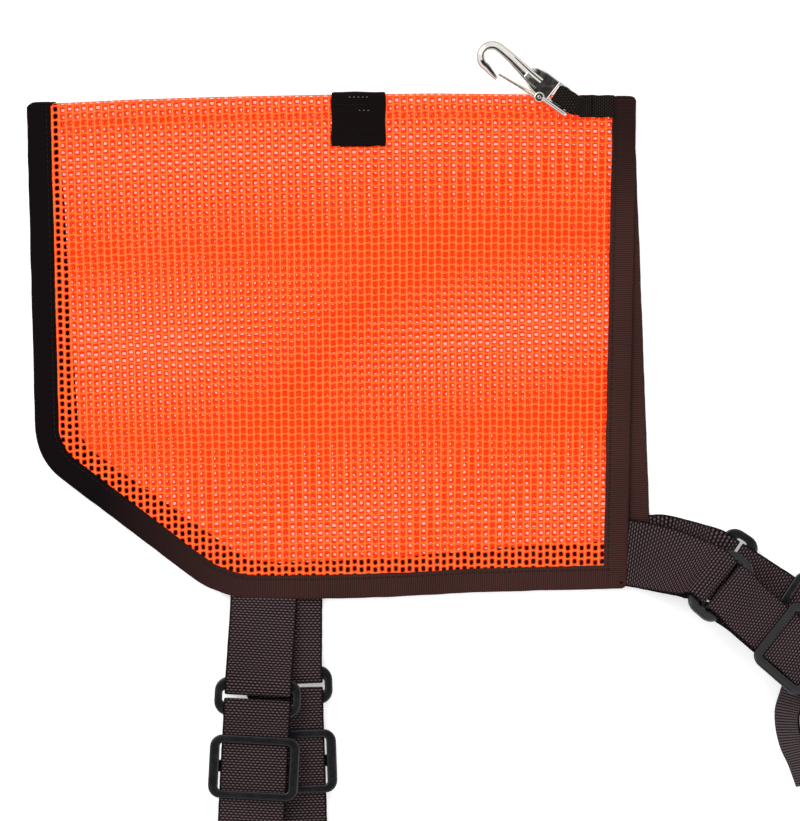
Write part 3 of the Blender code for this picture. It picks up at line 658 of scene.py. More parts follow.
def front_map(column, row):
    """Panel place of a front grid point; columns and rows may be fractions."""
    share = column / COLUMNS
    x = LEFT_X + (RIGHT_X - LEFT_X) * share
    seam = crest(x) - FOLD_RADIUS
    y = seam - row * (seam + 108.5) / ROWS
    left = LEFT_X + LEFT_LEAN * (175.0 - y)
    right = RIGHT_X - RIGHT_LEAN * (175.0 - y)
    x = left + (right - left) * share
    return np.stack([x, y, front_height(x, y)], -1)


def back_map(column, row):
    share = column / COLUMNS
    top = LEFT_X + (RIGHT_X - LEFT_X) * share
    seam = crest(top) - FOLD_RADIUS
    low = -110.0 + (top - TAIL_SIDE[0]) * math.sin(BACK_TURN)
    y = seam + row * (low - seam) / ROWS
    left = LEFT_X + 2.5 + LEFT_LEAN * (175.0 - y)
    right = RIGHT_X + 3.5 - RIGHT_LEAN * (175.0 - y)
    x = left + (right - left) * share + (175.0 - y) * math.sin(BACK_TURN)
    settle = np.clip((seam - y) / 30.0, 0.0, 1.0)
    z = BACK_Z + 0.22 * wave(x + 60.0, y - 40.0) * settle
    start = top + (x - top) * np.clip(row / 4.0, 0.0, 1.0)
    return np.stack([start, y, z], -1)


def fold_map(column, row):
    """The bend from the front's first row, where row is 0, to the back's at FOLD_ROWS."""
    x = LEFT_X + (RIGHT_X - LEFT_X) * column / COLUMNS
    turn = math.pi * row / FOLD_ROWS
    y = crest(x) - FOLD_RADIUS + FOLD_RADIUS * np.sin(turn)
    z = BACK_Z + FOLD_RADIUS + FOLD_RADIUS * np.cos(turn)
    return np.stack([x, y, z], -1)


def lattice(name, where, rows, limit, seed, size=1.0):
    """Open mesh cloth: strands between a grid of rounded holes, thick and thin by turns.

    where maps columns and rows to panel points; cells with their middles inside the limit stay;
    size scales the holes' height.
    """
    near, far = np.arange(COLUMNS) + 0.5, np.arange(rows) + 0.5
    column, row = np.meshgrid(near, far, indexing="ij")
    middle = where(column, row)
    stays = inside(middle[..., 0], middle[..., 1], limit)
    column, row = column[stays], row[stays]
    random = np.random.RandomState(seed)
    sway = np.where(np.floor(column) % 2 == 0, 0.5, -0.5) * COLUMN_STAGGER
    wide = HOLE_WIDTH * (1 + 0.10 * random.uniform(-1, 1, column.shape))
    high = HOLE_HEIGHT * size * (1 + 0.08 * random.uniform(-1, 1, column.shape))
    slant = 0.10 * random.uniform(-1, 1, column.shape)
    rims, ridges, tops = [], [], []
    for a, b in HOLE:
        corner = HOLE_CORNER if a and b else 1.0
        u = column + (a * wide * corner + slant * b * 0.5) / 2
        v = row + (b * high * corner) / 2 + sway
        rims.append(where(u, v))
        drift = sway * (1.0 if a == 0 else 0.35)
        ridges.append(where(column + a / 2, row + b / 2 + (drift if a == 0 else 0.0)))
        tops.append(1.0 if a and b else (0.92 if a else 0.70))
    e = 1e-3
    along = where(column + e, row) - where(column - e, row)
    down = where(column, row + e) - where(column, row - e)
    normal = np.cross(down, along)
    normal /= np.linalg.norm(normal, axis=-1, keepdims=True)
    cells = len(column)
    points, shade = [], []
    for rim in rims:
        points.append(rim)
        shade.append(np.zeros(cells))
    for side in (1.0, -1.0):
        for ridge, top in zip(ridges, tops):
            points.append(ridge + normal * STRAND_HEIGHT * top * side)
            shade.append(np.full(cells, top))
    points = np.stack(points, 1).reshape(-1, 3)
    shade = np.stack(shade, 1).reshape(-1)
    each = np.arange(cells)[:, None, None] * 24
    pattern = []
    for k in range(8):
        j = (k + 1) % 8
        pattern.append((8 + k, k, j, 8 + j))
        pattern.append((16 + j, j, k, 16 + k))
    faces = (each + np.array(pattern)[None]).reshape(-1, 4)
    _, first, index = np.unique(np.round(points, 2), axis=0, return_index=True, return_inverse=True)
    made = piece(name, points[first], index.reshape(-1)[faces], VINYL)
    # The crest share drives the vinyl's painted highlight on strand tops and painted shade at the hole edges.
    values = made.data.attributes.new("crest", "FLOAT", "POINT")
    values.data.foreach_set("value", shade[first].astype(np.float32))
    return made


# Binding tape ----------------------------------------------------------------------------------

def tape_stations(back):
    """Places along a layer's edge with the inward direction, for the tape's middle."""
    line = outline(back)
    stations = []
    for i, here in enumerate(line):
        along = direction(line, i)
        stations.append((here, Vector((-along.y, along.x)), along))
    return stations


def tape_section(here, inward, normal, wobble):
    section = []
    outer = [(d, h) for d, h in TAPE_TOP] + [(0.0, 0.0)] + [(d, -h) for d, h in TAPE_TOP[::-1]]
    for d, h in outer + TAPE_CAVITY:
        edge = d / TAPE_WIDTH
        out = d + wobble[0] * (1 - edge) + wobble[1] * edge
        rise = wobble[2] if h > 0 else wobble[2] * 0.4
        section.append(here + inward * out + normal * (h + rise * edge))
    return section


def tape_piece(name, stations, seed):
    """Tape folded over an edge, swept through (place, inward, normal) stations."""
    count = len(stations)
    rows = [noise(seed + i, count, 3) * size for i, size in enumerate((0.16, 0.28, 0.10))]
    sections, uv = [], []
    reach = 0.0
    across = [d for d, _ in TAPE_TOP] + [0.0] + [-d for d, _ in TAPE_TOP[::-1]] + [-13.5, -1.3, 1.3, 13.5]
    for i, (here, inward, normal) in enumerate(stations):
        if i:
            reach += (here - stations[i - 1][0]).length
        sections.append(tape_section(here, inward, normal, [row[i] for row in rows]))
        uv += [(reach, v) for v in across]
    points, faces = swept(sections)
    return outward(piece(name, points, faces, TAPE, uv=uv, angle=60.0))


def lifted(point, height):
    return Vector((point.x, point.y, float(height)))


def up_to_seam(line):
    """The stations below the fold's seam, with one more exactly on it at each end."""
    kept = [station for station in line if station[0].y < crest(station[0].x) - FOLD_RADIUS - 0.2]
    ends = []
    for station in (kept[0], kept[-1]):
        here, inward, along = station
        rise = (crest(here.x) - FOLD_RADIUS - here.y) / along.y
        ends.append((here + along * rise, inward, along))
    return [ends[0], *kept, ends[1]]


def front_tape_line():
    """Front edge stations from seam to seam."""
    found = []
    for here, inward, _ in up_to_seam(tape_stations(False)):
        middle = here + inward * TAPE_WIDTH / 2
        found.append((lifted(here, front_height(middle.x, middle.y)), inward.to_3d(), UP))
    return found


def back_tape_line():
    line = up_to_seam(tape_stations(True))
    return [(lifted(here, BACK_Z), inward.to_3d(), UP) for here, inward, _ in line]


def fold_tape_line(front_end, back_end, inward):
    """Stations of the tape round the fold, from the front layer's last to the back layer's."""
    found = []
    steps = 9
    for i in range(steps + 1):
        turn = math.pi * i / steps
        share = i / steps
        x = front_end.x + (back_end.x - front_end.x) * share
        y = front_end.y + (back_end.y - front_end.y) * share + FOLD_RADIUS * math.sin(turn)
        low, high = back_end.z, front_end.z
        z = (low + high) / 2 + (high - low) / 2 * math.cos(turn)
        normal = Vector((0.0, math.sin(turn), math.cos(turn)))
        tuck = inward * FOLD_TUCK * math.sin(turn) ** 2
        found.append((Vector((x, y, z)) + tuck, inward, normal))
    return found


def stitches(name, line, inset, body, finish, pitch=STITCH_PITCH, length=STITCH_LENGTH, side=1.0, lift=1.1):
    """A row of sewn stitches along a line of (place, inward, normal) stations."""
    path = [here + inward * inset + normal * lift * side for here, inward, normal in line]
    reach = travelled(path)
    points, faces = [], []
    place_at = pitch / 2
    i = 0
    while place_at < reach[-1] - length:
        while reach[i + 1] < place_at:
            i += 1
        share = (place_at - reach[i]) / max(reach[i + 1] - reach[i], 1e-6)
        here = path[i].lerp(path[i + 1], share)
        along = (path[i + 1] - path[i]).normalized()
        normal = line[i][2] * side
        across = normal.cross(along).normalized()
        start = len(points)
        for step, size, rise in STITCH_SHAPE:
            for a, b in ((-1, 0), (0, 1), (1, 0), (0, -1)):
                points.append(here + along * step * length + across * a * size + normal * (rise + b * size))
        for ring in range(3):
            for k in range(4):
                a, b = start + ring * 4 + k, start + ring * 4 + (k + 1) % 4
                faces.append((a, b, b + 4, a + 4))
        faces.append((start + 3, start + 2, start + 1, start))
        faces.append((start + 12, start + 13, start + 14, start + 15))
        place_at += pitch
    made = outward(piece(name, points, faces, finish))
    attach(made, body)
    return made


def follow_fold(made):
    """Bakes the piece's placement into its mesh."""
    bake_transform(made)


def cloth_limit(back):
    """The line that a layer's cells stay within: its edge under the tape, and open past the spine."""
    loop = shrunk(outline(back), HIDDEN_BY_TAPE)
    return [Vector((loop[0].x, PAST_SPINE)), *loop, Vector((loop[-1].x, PAST_SPINE))]


def vest_cloth():
    """Mesh cloth and binding tape of both layers and of the fold between them."""
    front_limit, back_limit = cloth_limit(False), cloth_limit(True)
    front = lattice("front_mesh_cloth", front_map, ROWS, front_limit, 3)
    back = lattice("back_mesh_cloth", back_map, ROWS, back_limit, 5, BACK_HOLE)
    fold = lattice("fold_mesh_cloth", fold_map, FOLD_ROWS, front_limit, 7, FOLD_HOLE)
    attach(front, "front_panel")
    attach(back, "back_panel")
    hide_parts("front_mesh_panel")
    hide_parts("back_mesh_panel")
    follow_fold(fold)

    front_line, back_line = front_tape_line(), back_tape_line()
    front_tape = tape_piece("front_edge_tape", front_line, 11)
    back_tape = tape_piece("back_edge_tape", back_line, 21)
    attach(front_tape, "front_panel")
    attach(back_tape, "back_panel")
    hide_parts("front_tail_binding", "front_hem_binding", "front_collar_binding")
    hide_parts("back_tail_binding", "back_hem_binding", "back_collar_binding")
    for tag, end in (("tail", 0), ("collar", -1)):
        line = fold_tape_line(front_line[end][0], back_line[end][0], front_line[end][1])
        follow_fold(tape_piece(f"fold_{tag}_tape", line, 31))
    inset = TAPE_WIDTH - STITCH_INSET
    sewn = [
        stitches(name, line, inset, panel, THREAD, side=side)
        for name, line, panel, side in (
            ("front_tape_stitches", front_line, "front_panel", 1.0),
            ("front_tape_inner_stitches", front_line, "front_panel", -1.0),
            ("back_tape_stitches", back_line, "back_panel", 1.0),
            ("back_tape_under_stitches", back_line, "back_panel", -1.0),
        )
    ]


# Webbing ---------------------------------------------------------------------------------------


class Run:
    """A centre line for webbing through stations of (x, y, z, roll in degrees)."""

    STEPS = 12

    def __init__(self, stations):
        knots = [Vector(station[:3]) for station in stations]
        rolls = [math.radians(station[3]) for station in stations]
        self.points, self.rolls = [], []
        for i in range(len(knots) - 1):
            before = knots[i - 1] if i else knots[0] * 2 - knots[1]
            after = knots[i + 2] if i + 2 < len(knots) else knots[-1] * 2 - knots[-2]
            chord = (knots[i + 1] - knots[i]).length
            one = (knots[i + 1] - before).normalized() * chord
            two = (after - knots[i]).normalized() * chord
            for step in range(self.STEPS):
                t = step / self.STEPS
                self.points.append(
                    knots[i] * (2 * t**3 - 3 * t**2 + 1)
                    + one * (t**3 - 2 * t**2 + t)
                    + knots[i + 1] * (3 * t**2 - 2 * t**3)
                    + two * (t**3 - t**2)
                )
                self.rolls.append(rolls[i] + (rolls[i + 1] - rolls[i]) * t)
        self.points.append(knots[-1])
        self.rolls.append(rolls[-1])
        self.reach = travelled(self.points)
        self.length = self.reach[-1]

    def centre(self, distance):
        if distance <= 0:
            return self.points[0] + (self.points[1] - self.points[0]).normalized() * distance
        if distance >= self.length:
            along = (self.points[-1] - self.points[-2]).normalized()
            return self.points[-1] + along * (distance - self.length)
        i = next(i for i, reach in enumerate(self.reach) if reach > distance)
        share = (distance - self.reach[i - 1]) / (self.reach[i] - self.reach[i - 1])
        return self.points[i - 1].lerp(self.points[i], share)

    def roll(self, distance):
        distance = min(max(distance, 0.0), self.length)
        i = next((i for i, reach in enumerate(self.reach) if reach > distance), len(self.reach) - 1)
        share = (distance - self.reach[i - 1]) / (self.reach[i] - self.reach[i - 1])
        return self.rolls[i - 1] + (self.rolls[i] - self.rolls[i - 1]) * share

    def axes(self, distance):
        """Along, across and off the webbing, each a unit vector."""
        along = (self.centre(distance + EASE) - self.centre(distance - EASE)).normalized()
        level = UP.cross(along).normalized()
        up = along.cross(level)
        roll = self.roll(distance)
        across = level * math.cos(roll) + up * math.sin(roll)
        return along, across, along.cross(across)

    def at(self, distance, height):
        along, across, off = self.axes(distance)
        return self.centre(distance) + off * height, across

    def frame(self, distance):
        """A panel-frame matrix whose X runs along, Y across and Z off the webbing."""
        along, across, off = self.axes(distance)
        made = Matrix((along, across, off)).transposed().to_4x4()
        made.translation = self.centre(distance)
        return made


def resampled(path, step):
    """The path of (distance, height) points with even, short steps and its corners eased."""
    path = [Vector(point) for point in path]
    reach = travelled(path)
    count = max(4, round(reach[-1] / step))
    found = []
    i = 0
    for k in range(count + 1):
        target = reach[-1] * k / count
        while i < len(path) - 2 and reach[i + 1] < target:
            i += 1
        share = (target - reach[i]) / max(reach[i + 1] - reach[i], 1e-9)
        found.append(path[i].lerp(path[i + 1], share))
    for _ in range(3):
        eased = [(a + 2 * b + c) / 4 for a, b, c in zip(found, found[1:], found[2:])]
        found = [found[0], *eased, found[-1]]
    return found


def ribbon(
    name, path, run, width=WEB_WIDTH, thickness=WEB_THICKNESS, finish=WEBBING, step=1.3, seed=1, start=0.0,
    edge=0.12,
):
    """Webbing along a path of (distance, height) over a run, with soft selvages."""
    path = resampled(path, step)
    half = thickness / 2
    sway = [noise(seed + i, len(path), 4) * edge for i in range(2)]
    sections, uv = [], []
    reach = start
    for i, here in enumerate(path):
        along = direction(path, i)
        side = Vector((-along.y, along.x))
        reach += (here - path[i - 1]).length if i else 0.0
        section = []
        for a, b in WEB_RIM:
            point, across = run.at(here.x + side.x * half * b, here.y + side.y * half * b)
            shift = sway[0][i] if a < 0 else sway[1][i]
            section.append(point + across * (a * width + shift * abs(a) * 2))
            uv.append((reach, a * width))
        sections.append(section)
    points, faces = swept(sections)
    return outward(piece(name, points, faces, finish, uv=uv, angle=70.0))


def level_path(run, count):
    """A path for a ribbon that keeps to its run's middle."""
    return [(run.length * i / count, 0.0) for i in range(count + 1)]


def half_turn(bar, reach, height, facing, count=9):
    """Webbing's way round a bar; facing is +1 when the closed end is at larger distances."""
    bend = arc((0.0, 0.0), height, math.pi / 2, -math.pi / 2, count)
    return [(bar + facing * (reach - height + x), y) for x, y in bend]


def anchor_loop(side, run):
    """Webbing from inside the hem tape, doubled round the ring's first bar."""
    ramp = run.length - RING_BAR / 2 - RAMP
    out = [(-7.0, 0.25), (-1.0, 0.3), (5.0, PLY), (ramp, PLY), (run.length - RING_BAR / 2 + 1.0, LOOP_HEIGHT)]
    back = [(distance, -height) for distance, height in out[::-1]]
    path = out + half_turn(run.length, BAR_REACH + 0.6, LOOP_HEIGHT, 1)[1:-1] + back
    made = ribbon(f"{side}_anchor_webbing", path, run, seed=41)
    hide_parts(f"{side}_anchor_loop")
    start = ORIGIN + run.centre(-2.0) * MM
    end = ORIGIN + run.centre(4.0) * MM
    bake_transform(made)


def adjustable_strap(side, run, glide_at):
    """Webbing from the ring's second bar, through the glide, to the buckle's bar at the run's end."""
    start = RING_BAR / 2
    tail = glide_at + GLIDE_LENGTH / 2 + TAIL_PAST_GLIDE
    inner = [(tail, -PLY), (glide_at, -PLY), (start + RAMP, -PLY), (start - 1.0, -LOOP_HEIGHT)]
    turn = half_turn(0.0, BAR_REACH + 0.6, LOOP_HEIGHT, -1)[::-1]
    end = run.length - BUCKLE_BAR / 2
    bend = end - RAMP
    height = BUCKLE_THICKNESS / 4 + 0.9
    outer = [(start - 1.0, LOOP_HEIGHT), (start + RAMP, PLY), (bend, PLY), (end, height)]
    reach = BUCKLE_BAR / 2 + 1.2
    stitched = [(end, -height), (bend, -PLY), (bend - 12.0, -PLY)]
    around = half_turn(run.length, max(reach, height), height, 1)
    path = inner + turn[1:-1] + outer + around[1:-1] + stitched
    made = ribbon(f"{side}_strap_webbing", path, run, seed=51)
    near, far = (ORIGIN + run.centre(distance) * MM for distance in (start, start + 2 * RAMP))
    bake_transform(made)
    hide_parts(f"{side}_strap")


# Moulded hardware ------------------------------------------------------------------------------


def ring(side, where, body):
    """Two-bar ring between the anchor loop and the strap."""
    outer = rounded_rectangle(RING_LENGTH, RING_WIDTH, 8.0)
    inner = rounded_rectangle(RING_SLOT_LENGTH, RING_SLOT_WIDTH, 1.5)
    half = RING_THICKNESS / 2
    made = solid(f"{side}_moulded_ring", where, plate_with_slot(outer, inner, -half, half), PLASTIC)
    made = settled(bevelled(made, 0.9))
    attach(made, body)
    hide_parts(f"{side}_ring")


def tri_glide(side, where, body):
    """Adjuster whose end bars lie over the webbing and whose middle bar lies under it."""
    outer = rounded_rectangle(GLIDE_LENGTH, GLIDE_WIDTH, GLIDE_CORNER)
    window = GLIDE_WIDTH - 2 * GLIDE_SIDE
    inner = rounded_rectangle(GLIDE_LENGTH - 2 * GLIDE_BAR, window, 2.0)
    low, high = GLIDE_LOW, GLIDE_LOW + GLIDE_PLATE
    frame_ = solid("glide_frame", where, plate_with_slot(outer, inner, low, high), PLASTIC)
    frame_ = settled(bevelled(frame_, 0.8))
    half, reach, edge = GLIDE_WIDTH / 2 - 4.4, GLIDE_CENTRE_BAR / 2, window / 2 - 0.2
    cradle = [(-half, -high), (half, -high), (half, high - 0.7), (edge, high - 0.7)]
    cradle += [(edge, -low), (-edge, -low), (-edge, high - 0.7), (-half, high - 0.7)]
    ends = [[(x, y, z) for y, z in cradle] for x in (-reach, reach)]
    bar = settled(bevelled(solid("glide_bar", where, swept(ends), PLASTIC), 0.7))
    made = joined(f"{side}_moulded_glide", [frame_, bar])
    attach(made, body)
    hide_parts(f"{side}_tri_glide")


HUMP_STEPS = 12


def glide_hump(side, run, glide_at, body):
    """The webbing's rise over the glide's hidden middle bar, which travels with the glide."""
    reach = GLIDE_LENGTH / 2 - 2.0
    path = []
    for i in range(2 * HUMP_STEPS + 1):
        t = -1.0 + i / HUMP_STEPS
        rise = GLIDE_HUMP * (0.5 + 0.5 * math.cos(math.pi * t)) ** 0.8
        path.append((glide_at + reach * t, PLY + 0.08 + rise))
    start = glide_at - reach
    made = ribbon(f"{side}_glide_webbing", path, run, width=WEB_WIDTH + 0.1, seed=61, start=start, edge=0.08)
    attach(made, body)


def local_box(name, low, high, where):
    return solid(name, where, box(low, high), PLASTIC)


def webbing_slot(where):
    """Helpers that leave a slot for the webbing and a thinner bar before it."""
    bar, side = BUCKLE_BAR / 2, WEB_WIDTH / 2 + 1.0
    return [
        local_box("slot", (bar, -side, -10), (bar + BUCKLE_SLOT, side, 10), where),
        local_box("bar_top", (-10, -side, BUCKLE_BAR_HALF), (bar + 1, side, 10), where),
        local_box("bar_bottom", (-10, -side, -10), (bar + 1, side, -BUCKLE_BAR_HALF), where),
    ]


def hollowed(made, helpers, edge, body, node):
    """Finishes a buckle half: helpers cut out, edges rounded, on its body in place of its node."""
    made = settled(bevelled(cut(made, helpers), edge, angle=50.0))
    removed(helpers)
    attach(made, body)
    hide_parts(node)


def male_buckle(side, where, body):
    """The half with the prongs and the guide between them."""
    half, thick = BUCKLE_WIDTH / 2, BUCKLE_THICKNESS / 4
    bar = BUCKLE_BAR / 2
    shoulder = bar + BUCKLE_SLOT + 5.0
    edge = [(-bar, half - 2), (-bar + 2, half), (shoulder, half), (shoulder, half - 3)]
    prong = [(shoulder + 8, half - 5), (shoulder + 15, half), (shoulder + 20, half - 2)]
    prong += [(shoulder + 25, half - 8), (shoulder + 22, half - 10), (shoulder + 1, half - 9)]
    guide = [(shoulder, 4.0), (shoulder + 22, 3.0), (shoulder + 24, 1.5)]
    upper = edge + prong + guide
    shape = upper + [(x, -y) for x, y in upper[::-1]]
    made = solid(f"{side}_moulded_prongs", where, prism(shape, -thick, thick), PLASTIC)
    hollowed(made, webbing_slot(where), 0.7, body, f"{side}_male_buckle")


def female_buckle(side, where, body):
    """The socket half, open at its mouth and at the windows in its sides."""
    half, thick = BUCKLE_WIDTH / 2, BUCKLE_THICKNESS / 2
    bar = BUCKLE_BAR / 2
    floor_at = bar + BUCKLE_SLOT + 3.0
    length, wall = 42.0, 2.0
    shape = rounded_rectangle(length + bar, BUCKLE_WIDTH, 4.0, 6)
    shape = [(x + (length - bar) / 2, y) for x, y in shape]
    made = solid(f"{side}_moulded_socket", where, prism(shape, -thick, thick), PLASTIC)
    low, high, past = wall - thick, thick - wall, half + 5
    helpers = webbing_slot(where)
    helpers.append(local_box("socket", (floor_at, wall - half, low), (length + 10, half - wall, high), where))
    helpers.append(local_box("windows", (length - 20, -past, low), (length - 9, past, high), where))
    hollowed(made, helpers, 0.6, body, f"{side}_female_buckle")


# Straps ----------------------------------------------------------------------------------------


def strap_set(side, panel, anchor_run, strap_run, buckle):
    """One strap from its sewn end to its buckle half, placed by the record's joints."""
    ring_frame = strap_run.frame(0.0)
    ring_frame.translation = (place(f"{side}_ring_swing") + place(f"{side}_strap_swing")) / 2
    low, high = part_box(f"{side}_tri_glide")
    glide = ((low + high) / 2 - ORIGIN) / MM
    along = axis(f"{side}_glide_slide")
    glide_at = (glide - strap_run.centre(0.0)).dot(along)
    anchor_loop(side, anchor_run)
    ring(side, ring_frame, f"{side}_ring")
    adjustable_strap(side, strap_run, glide_at)
    tri_glide(side, strap_run.frame(glide_at), f"{side}_glide")
    glide_hump(side, strap_run, glide_at, f"{side}_glide")
    buckle(side, strap_run.frame(strap_run.length), f"{side}_buckle")


def straight_runs(side, square, middle):
    """Runs of a strap that lies flat: to its ring, and from its ring to its buckle."""
    hem, first = place(f"{side}_hem_fold"), place(f"{side}_ring_swing")
    second, last = place(f"{side}_strap_swing"), place(f"{side}_buckle_swing")
    along = (last - second).normalized()
    start = Vector((hem.x, hem.y, middle))
    lead = start + heading(square) * HEM_LEAD
    lead.z = hem.z
    anchor = Run([(*start, 0.0), (*lead, 0.0), (*(first - along * RING_LEAD), 0.0), (*first, 0.0)])
    return anchor, Run([(*second, 0.0), (*last, 0.0)])


def straps():
    for side, square, panel, middle, buckle in (
        ("back_belly", -90.0, "back_panel", BACK_Z, female_buckle),
        ("front_belly", -91.5, "front_panel", FRONT_Z, male_buckle),
        ("back_chest", 2.0, "back_panel", BACK_Z, female_buckle),
    ):
        strap_set(side, panel, *straight_runs(side, square, middle), buckle)
    front_chest()


def front_chest():
    """The strap that leaves the collar corner, rolls onto its edge and droops to its buckle."""
    side = "front_chest"
    hem, first = place(f"{side}_hem_fold"), place(f"{side}_ring_swing")
    second, last = place(f"{side}_strap_swing"), place(f"{side}_buckle_swing")
    along = axis(f"{side}_glide_slide")
    roll = -34.0
    anchor = Run(
        [
            (hem.x, hem.y, FRONT_Z, 0.0),
            (hem.x + 6.0, hem.y - 0.9, hem.z + 0.8, roll * 0.05),
            (hem.x + 22.0, hem.y - 4.8, hem.z + 8.5, roll * 0.45),
            (*(first - along * RING_LEAD), roll),
            (*first, roll),
        ]
    )
    straight = second + along * 84.0
    strap = Run(
        [
            (*second, roll),
            (*straight, roll),
            (*(straight + along * 8.0), roll),
            (last.x - 6.0, last.y + 38.0, 18.0, roll * 0.5),
            (last.x - 2.5, last.y + 24.0, 9.0, roll * 0.15),
            (last.x - 1.0, last.y + 12.0, last.z + 0.4, 0.0),
            (*last, 0.0),
        ]
    )
    strap_set(side, "front_panel", anchor, strap, male_buckle)
    low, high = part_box("front_chest_loose_end")
    middle = ((low + high) / 2 - ORIGIN) / MM
    tail = Run(
        [
            (middle.x - 1.0, middle.y + 34.0, 16.8, 64.0),
            (middle.x - 6.4, middle.y + 24.7, 17.8, 70.0),
            (middle.x - 9.8, middle.y + 14.2, 18.4, 72.0),
            (middle.x - 7.6, middle.y - 0.8, 18.4, 72.0),
            (middle.x - 2.4, middle.y - 12.8, 18.4, 72.0),
            (middle.x + 2.6, middle.y - 24.8, 18.2, 70.0),
        ]
    )
    made = ribbon("front_chest_loose_webbing", level_path(tail, 30), tail, seed=71)
    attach(made, "front_chest_strap")
    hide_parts("front_chest_loose_end")


# Spine tab, collar webbing and snap hook ---------------------------------------------------------


TAB_LIFT = 1.15
TAB_STEPS, TAB_TURN_STEPS, TAB_ACROSS = 26, 8, 22
TAB_STITCHES = 14


def surface_line(x, ys, lift):
    """Points a little above the front cloth at one place along the spine."""
    return [Vector((x, y, float(front_height(x, y)) + lift)) for y in ys]


def spine_tab():
    """Short webbing patch sewn over the fold, its cut end frayed on the front layer."""
    low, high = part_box("spine_tab")
    left, bottom = (low - ORIGIN).x / MM, (low - ORIGIN).y / MM
    right = (high - ORIGIN).x / MM
    width = right - left
    centre = (left + right) / 2
    seam = float(crest(centre)) - FOLD_RADIUS
    radius = FOLD_RADIUS + TAB_LIFT
    ys = [bottom + (seam - bottom) * i / TAB_STEPS for i in range(TAB_STEPS)]
    line = surface_line(centre, ys, TAB_LIFT)
    middle = Vector((centre, seam, BACK_Z + FOLD_RADIUS))
    for i in range(TAB_TURN_STEPS + 1):
        turn = math.radians(100.0) * i / TAB_TURN_STEPS
        line.append(middle + Vector((0.0, math.sin(turn), math.cos(turn))) * radius)
    fray = noise(81, TAB_ACROSS + 1, 1)
    half = 0.6
    sections, uv = [], []
    reach = 0.0
    for i, here in enumerate(line):
        along = direction(line, i)
        normal = Vector((1.0, 0.0, 0.0)).cross(along).normalized()
        reach += (here - line[i - 1]).length if i else 0.0
        section = []
        for side in (1.0, -1.0):
            for k in range(TAB_ACROSS + 1):
                share = k / TAB_ACROSS if side > 0 else 1 - k / TAB_ACROSS
                x = (share - 0.5) * (width + 0.5 * math.sin(i * 0.35) - 0.25)
                ragged = 0.55 * float(fray[round(share * TAB_ACROSS)]) if i == 0 else 0.0
                rim = 1.0 - 0.75 * max(abs(share - 0.5) * 2 - 0.94, 0.0) / 0.06
                pucker = 0.16 * math.sin(share * 9.0 + i * 0.5)
                rise = half * side * rim + pucker
                section.append(here + Vector((x, 0.0, 0.0)) + along * ragged + normal * rise)
                uv.append((reach, x))
        sections.append(section)
    points, faces = swept(sections)
    made = outward(piece("spine_tab_webbing", points, faces, FINE_WEBBING, uv=uv, angle=60.0))
    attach(made, "front_panel")
    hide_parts("spine_tab")
    tab_stitches(line, width)


def tab_stitches(line, width):
    """Two sewn rows across the tab whose threads catch the light, and darker rows beside them."""
    for name, index, finish, low, high in (
        ("tab_top_stitches", 26, GLINT_THREAD, -0.20, 0.25),
        ("tab_second_stitches", 19, GLINT_THREAD, -0.02, 0.25),
        ("tab_third_stitches", 22, THREAD, -0.38, 0.40),
        ("tab_low_stitches", 9, THREAD, -0.38, 0.40),
    ):
        here, after = line[index], line[index + 1]
        along = (after - here).normalized()
        normal = Vector((1.0, 0.0, 0.0)).cross(along).normalized()
        path = []
        for i in range(TAB_STITCHES):
            x = width * (low + (high - low) * i / (TAB_STITCHES - 1))
            path.append((here + Vector((x, 0.0, 0.0)), along, normal))
        stitches(name, path, 0.0, "front_panel", finish, pitch=2.45, length=1.0, lift=0.62)


def collar_band():
    """The webbing sewn along the collar end of the fold."""
    low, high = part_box("collar_strap")
    low, high = (low - ORIGIN) / MM, (high - ORIGIN) / MM
    y = (low.y + high.y) / 2
    z = float(front_height(low.x, y)) + 1.3
    run = Run([(low.x - 1.5, y, z, 0.0), ((low.x + high.x) / 2, y, z, 0.0), (high.x + 1.5, y, z, 0.0)])
    path, width = level_path(run, 16), high.y - low.y
    made = ribbon("collar_band", path, run, width, 1.1, COLLAR_WEBBING, step=0.9, seed=85, edge=0.2)
    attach(made, "front_panel")
    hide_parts("collar_strap")


def hook_axes():
    """Panel-frame matrix of the snap hook: X from the eye's bar to the bend, Z up."""
    across = -axis("hook_swing")
    along = across.cross(UP).normalized()
    made = Matrix((along, across, UP)).transposed().to_4x4()
    made.translation = place("hook_swing")
    return made


def hook_webbing():
    """The bunched loop of webbing that comes out of the collar band and fills the hook's eye."""
    where = hook_axes()
    low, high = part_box("collar_strap")
    root = Vector(((low - ORIGIN).x / MM, ((low + high) / 2 - ORIGIN).y / MM, 0.0))
    root.z = float(front_height(root.x, 170.0)) + 2.4
    behind, through = where @ Vector((-3.5, 1.0, -1.2)), where @ Vector((6.0, 2.0, -0.4))
    run = Run([(root.x + 5.0, root.y, root.z - 0.4, 0.0), (*root, 0.0), (*behind, 0.0), (*through, 0.0)])
    height = 3.0
    out = [(0.0, 0.7), (run.length - 12.0, 1.6), (run.length - 6.0, height), (run.length, height)]
    back = [(distance, -rise) for distance, rise in out[::-1]]
    path = out + half_turn(run.length, height + 0.4, height, 1)[1:-1] + back
    made = ribbon("hook_loop_webbing", path, run, 10.4, 1.5, COLLAR_WEBBING, step=0.8, seed=91, edge=0.9)
    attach(made, "front_panel")
    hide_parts("hook_loop")


def channel_bar(line, widths, thickness, where):
    """A cast bar with a rolled rim on each face, swept along a flat line."""
    line = [Vector(point) for point in line]
    sections = []
    for i, here in enumerate(line):
        along = direction(line, i)
        side = Vector((-along.y, along.x))
        half, deep = widths[i] / 2, thickness[i] / 2
        sections.append([where @ Vector((*(here + side * a * half), b * deep)) for a, b in CHANNEL])
    return swept(sections)


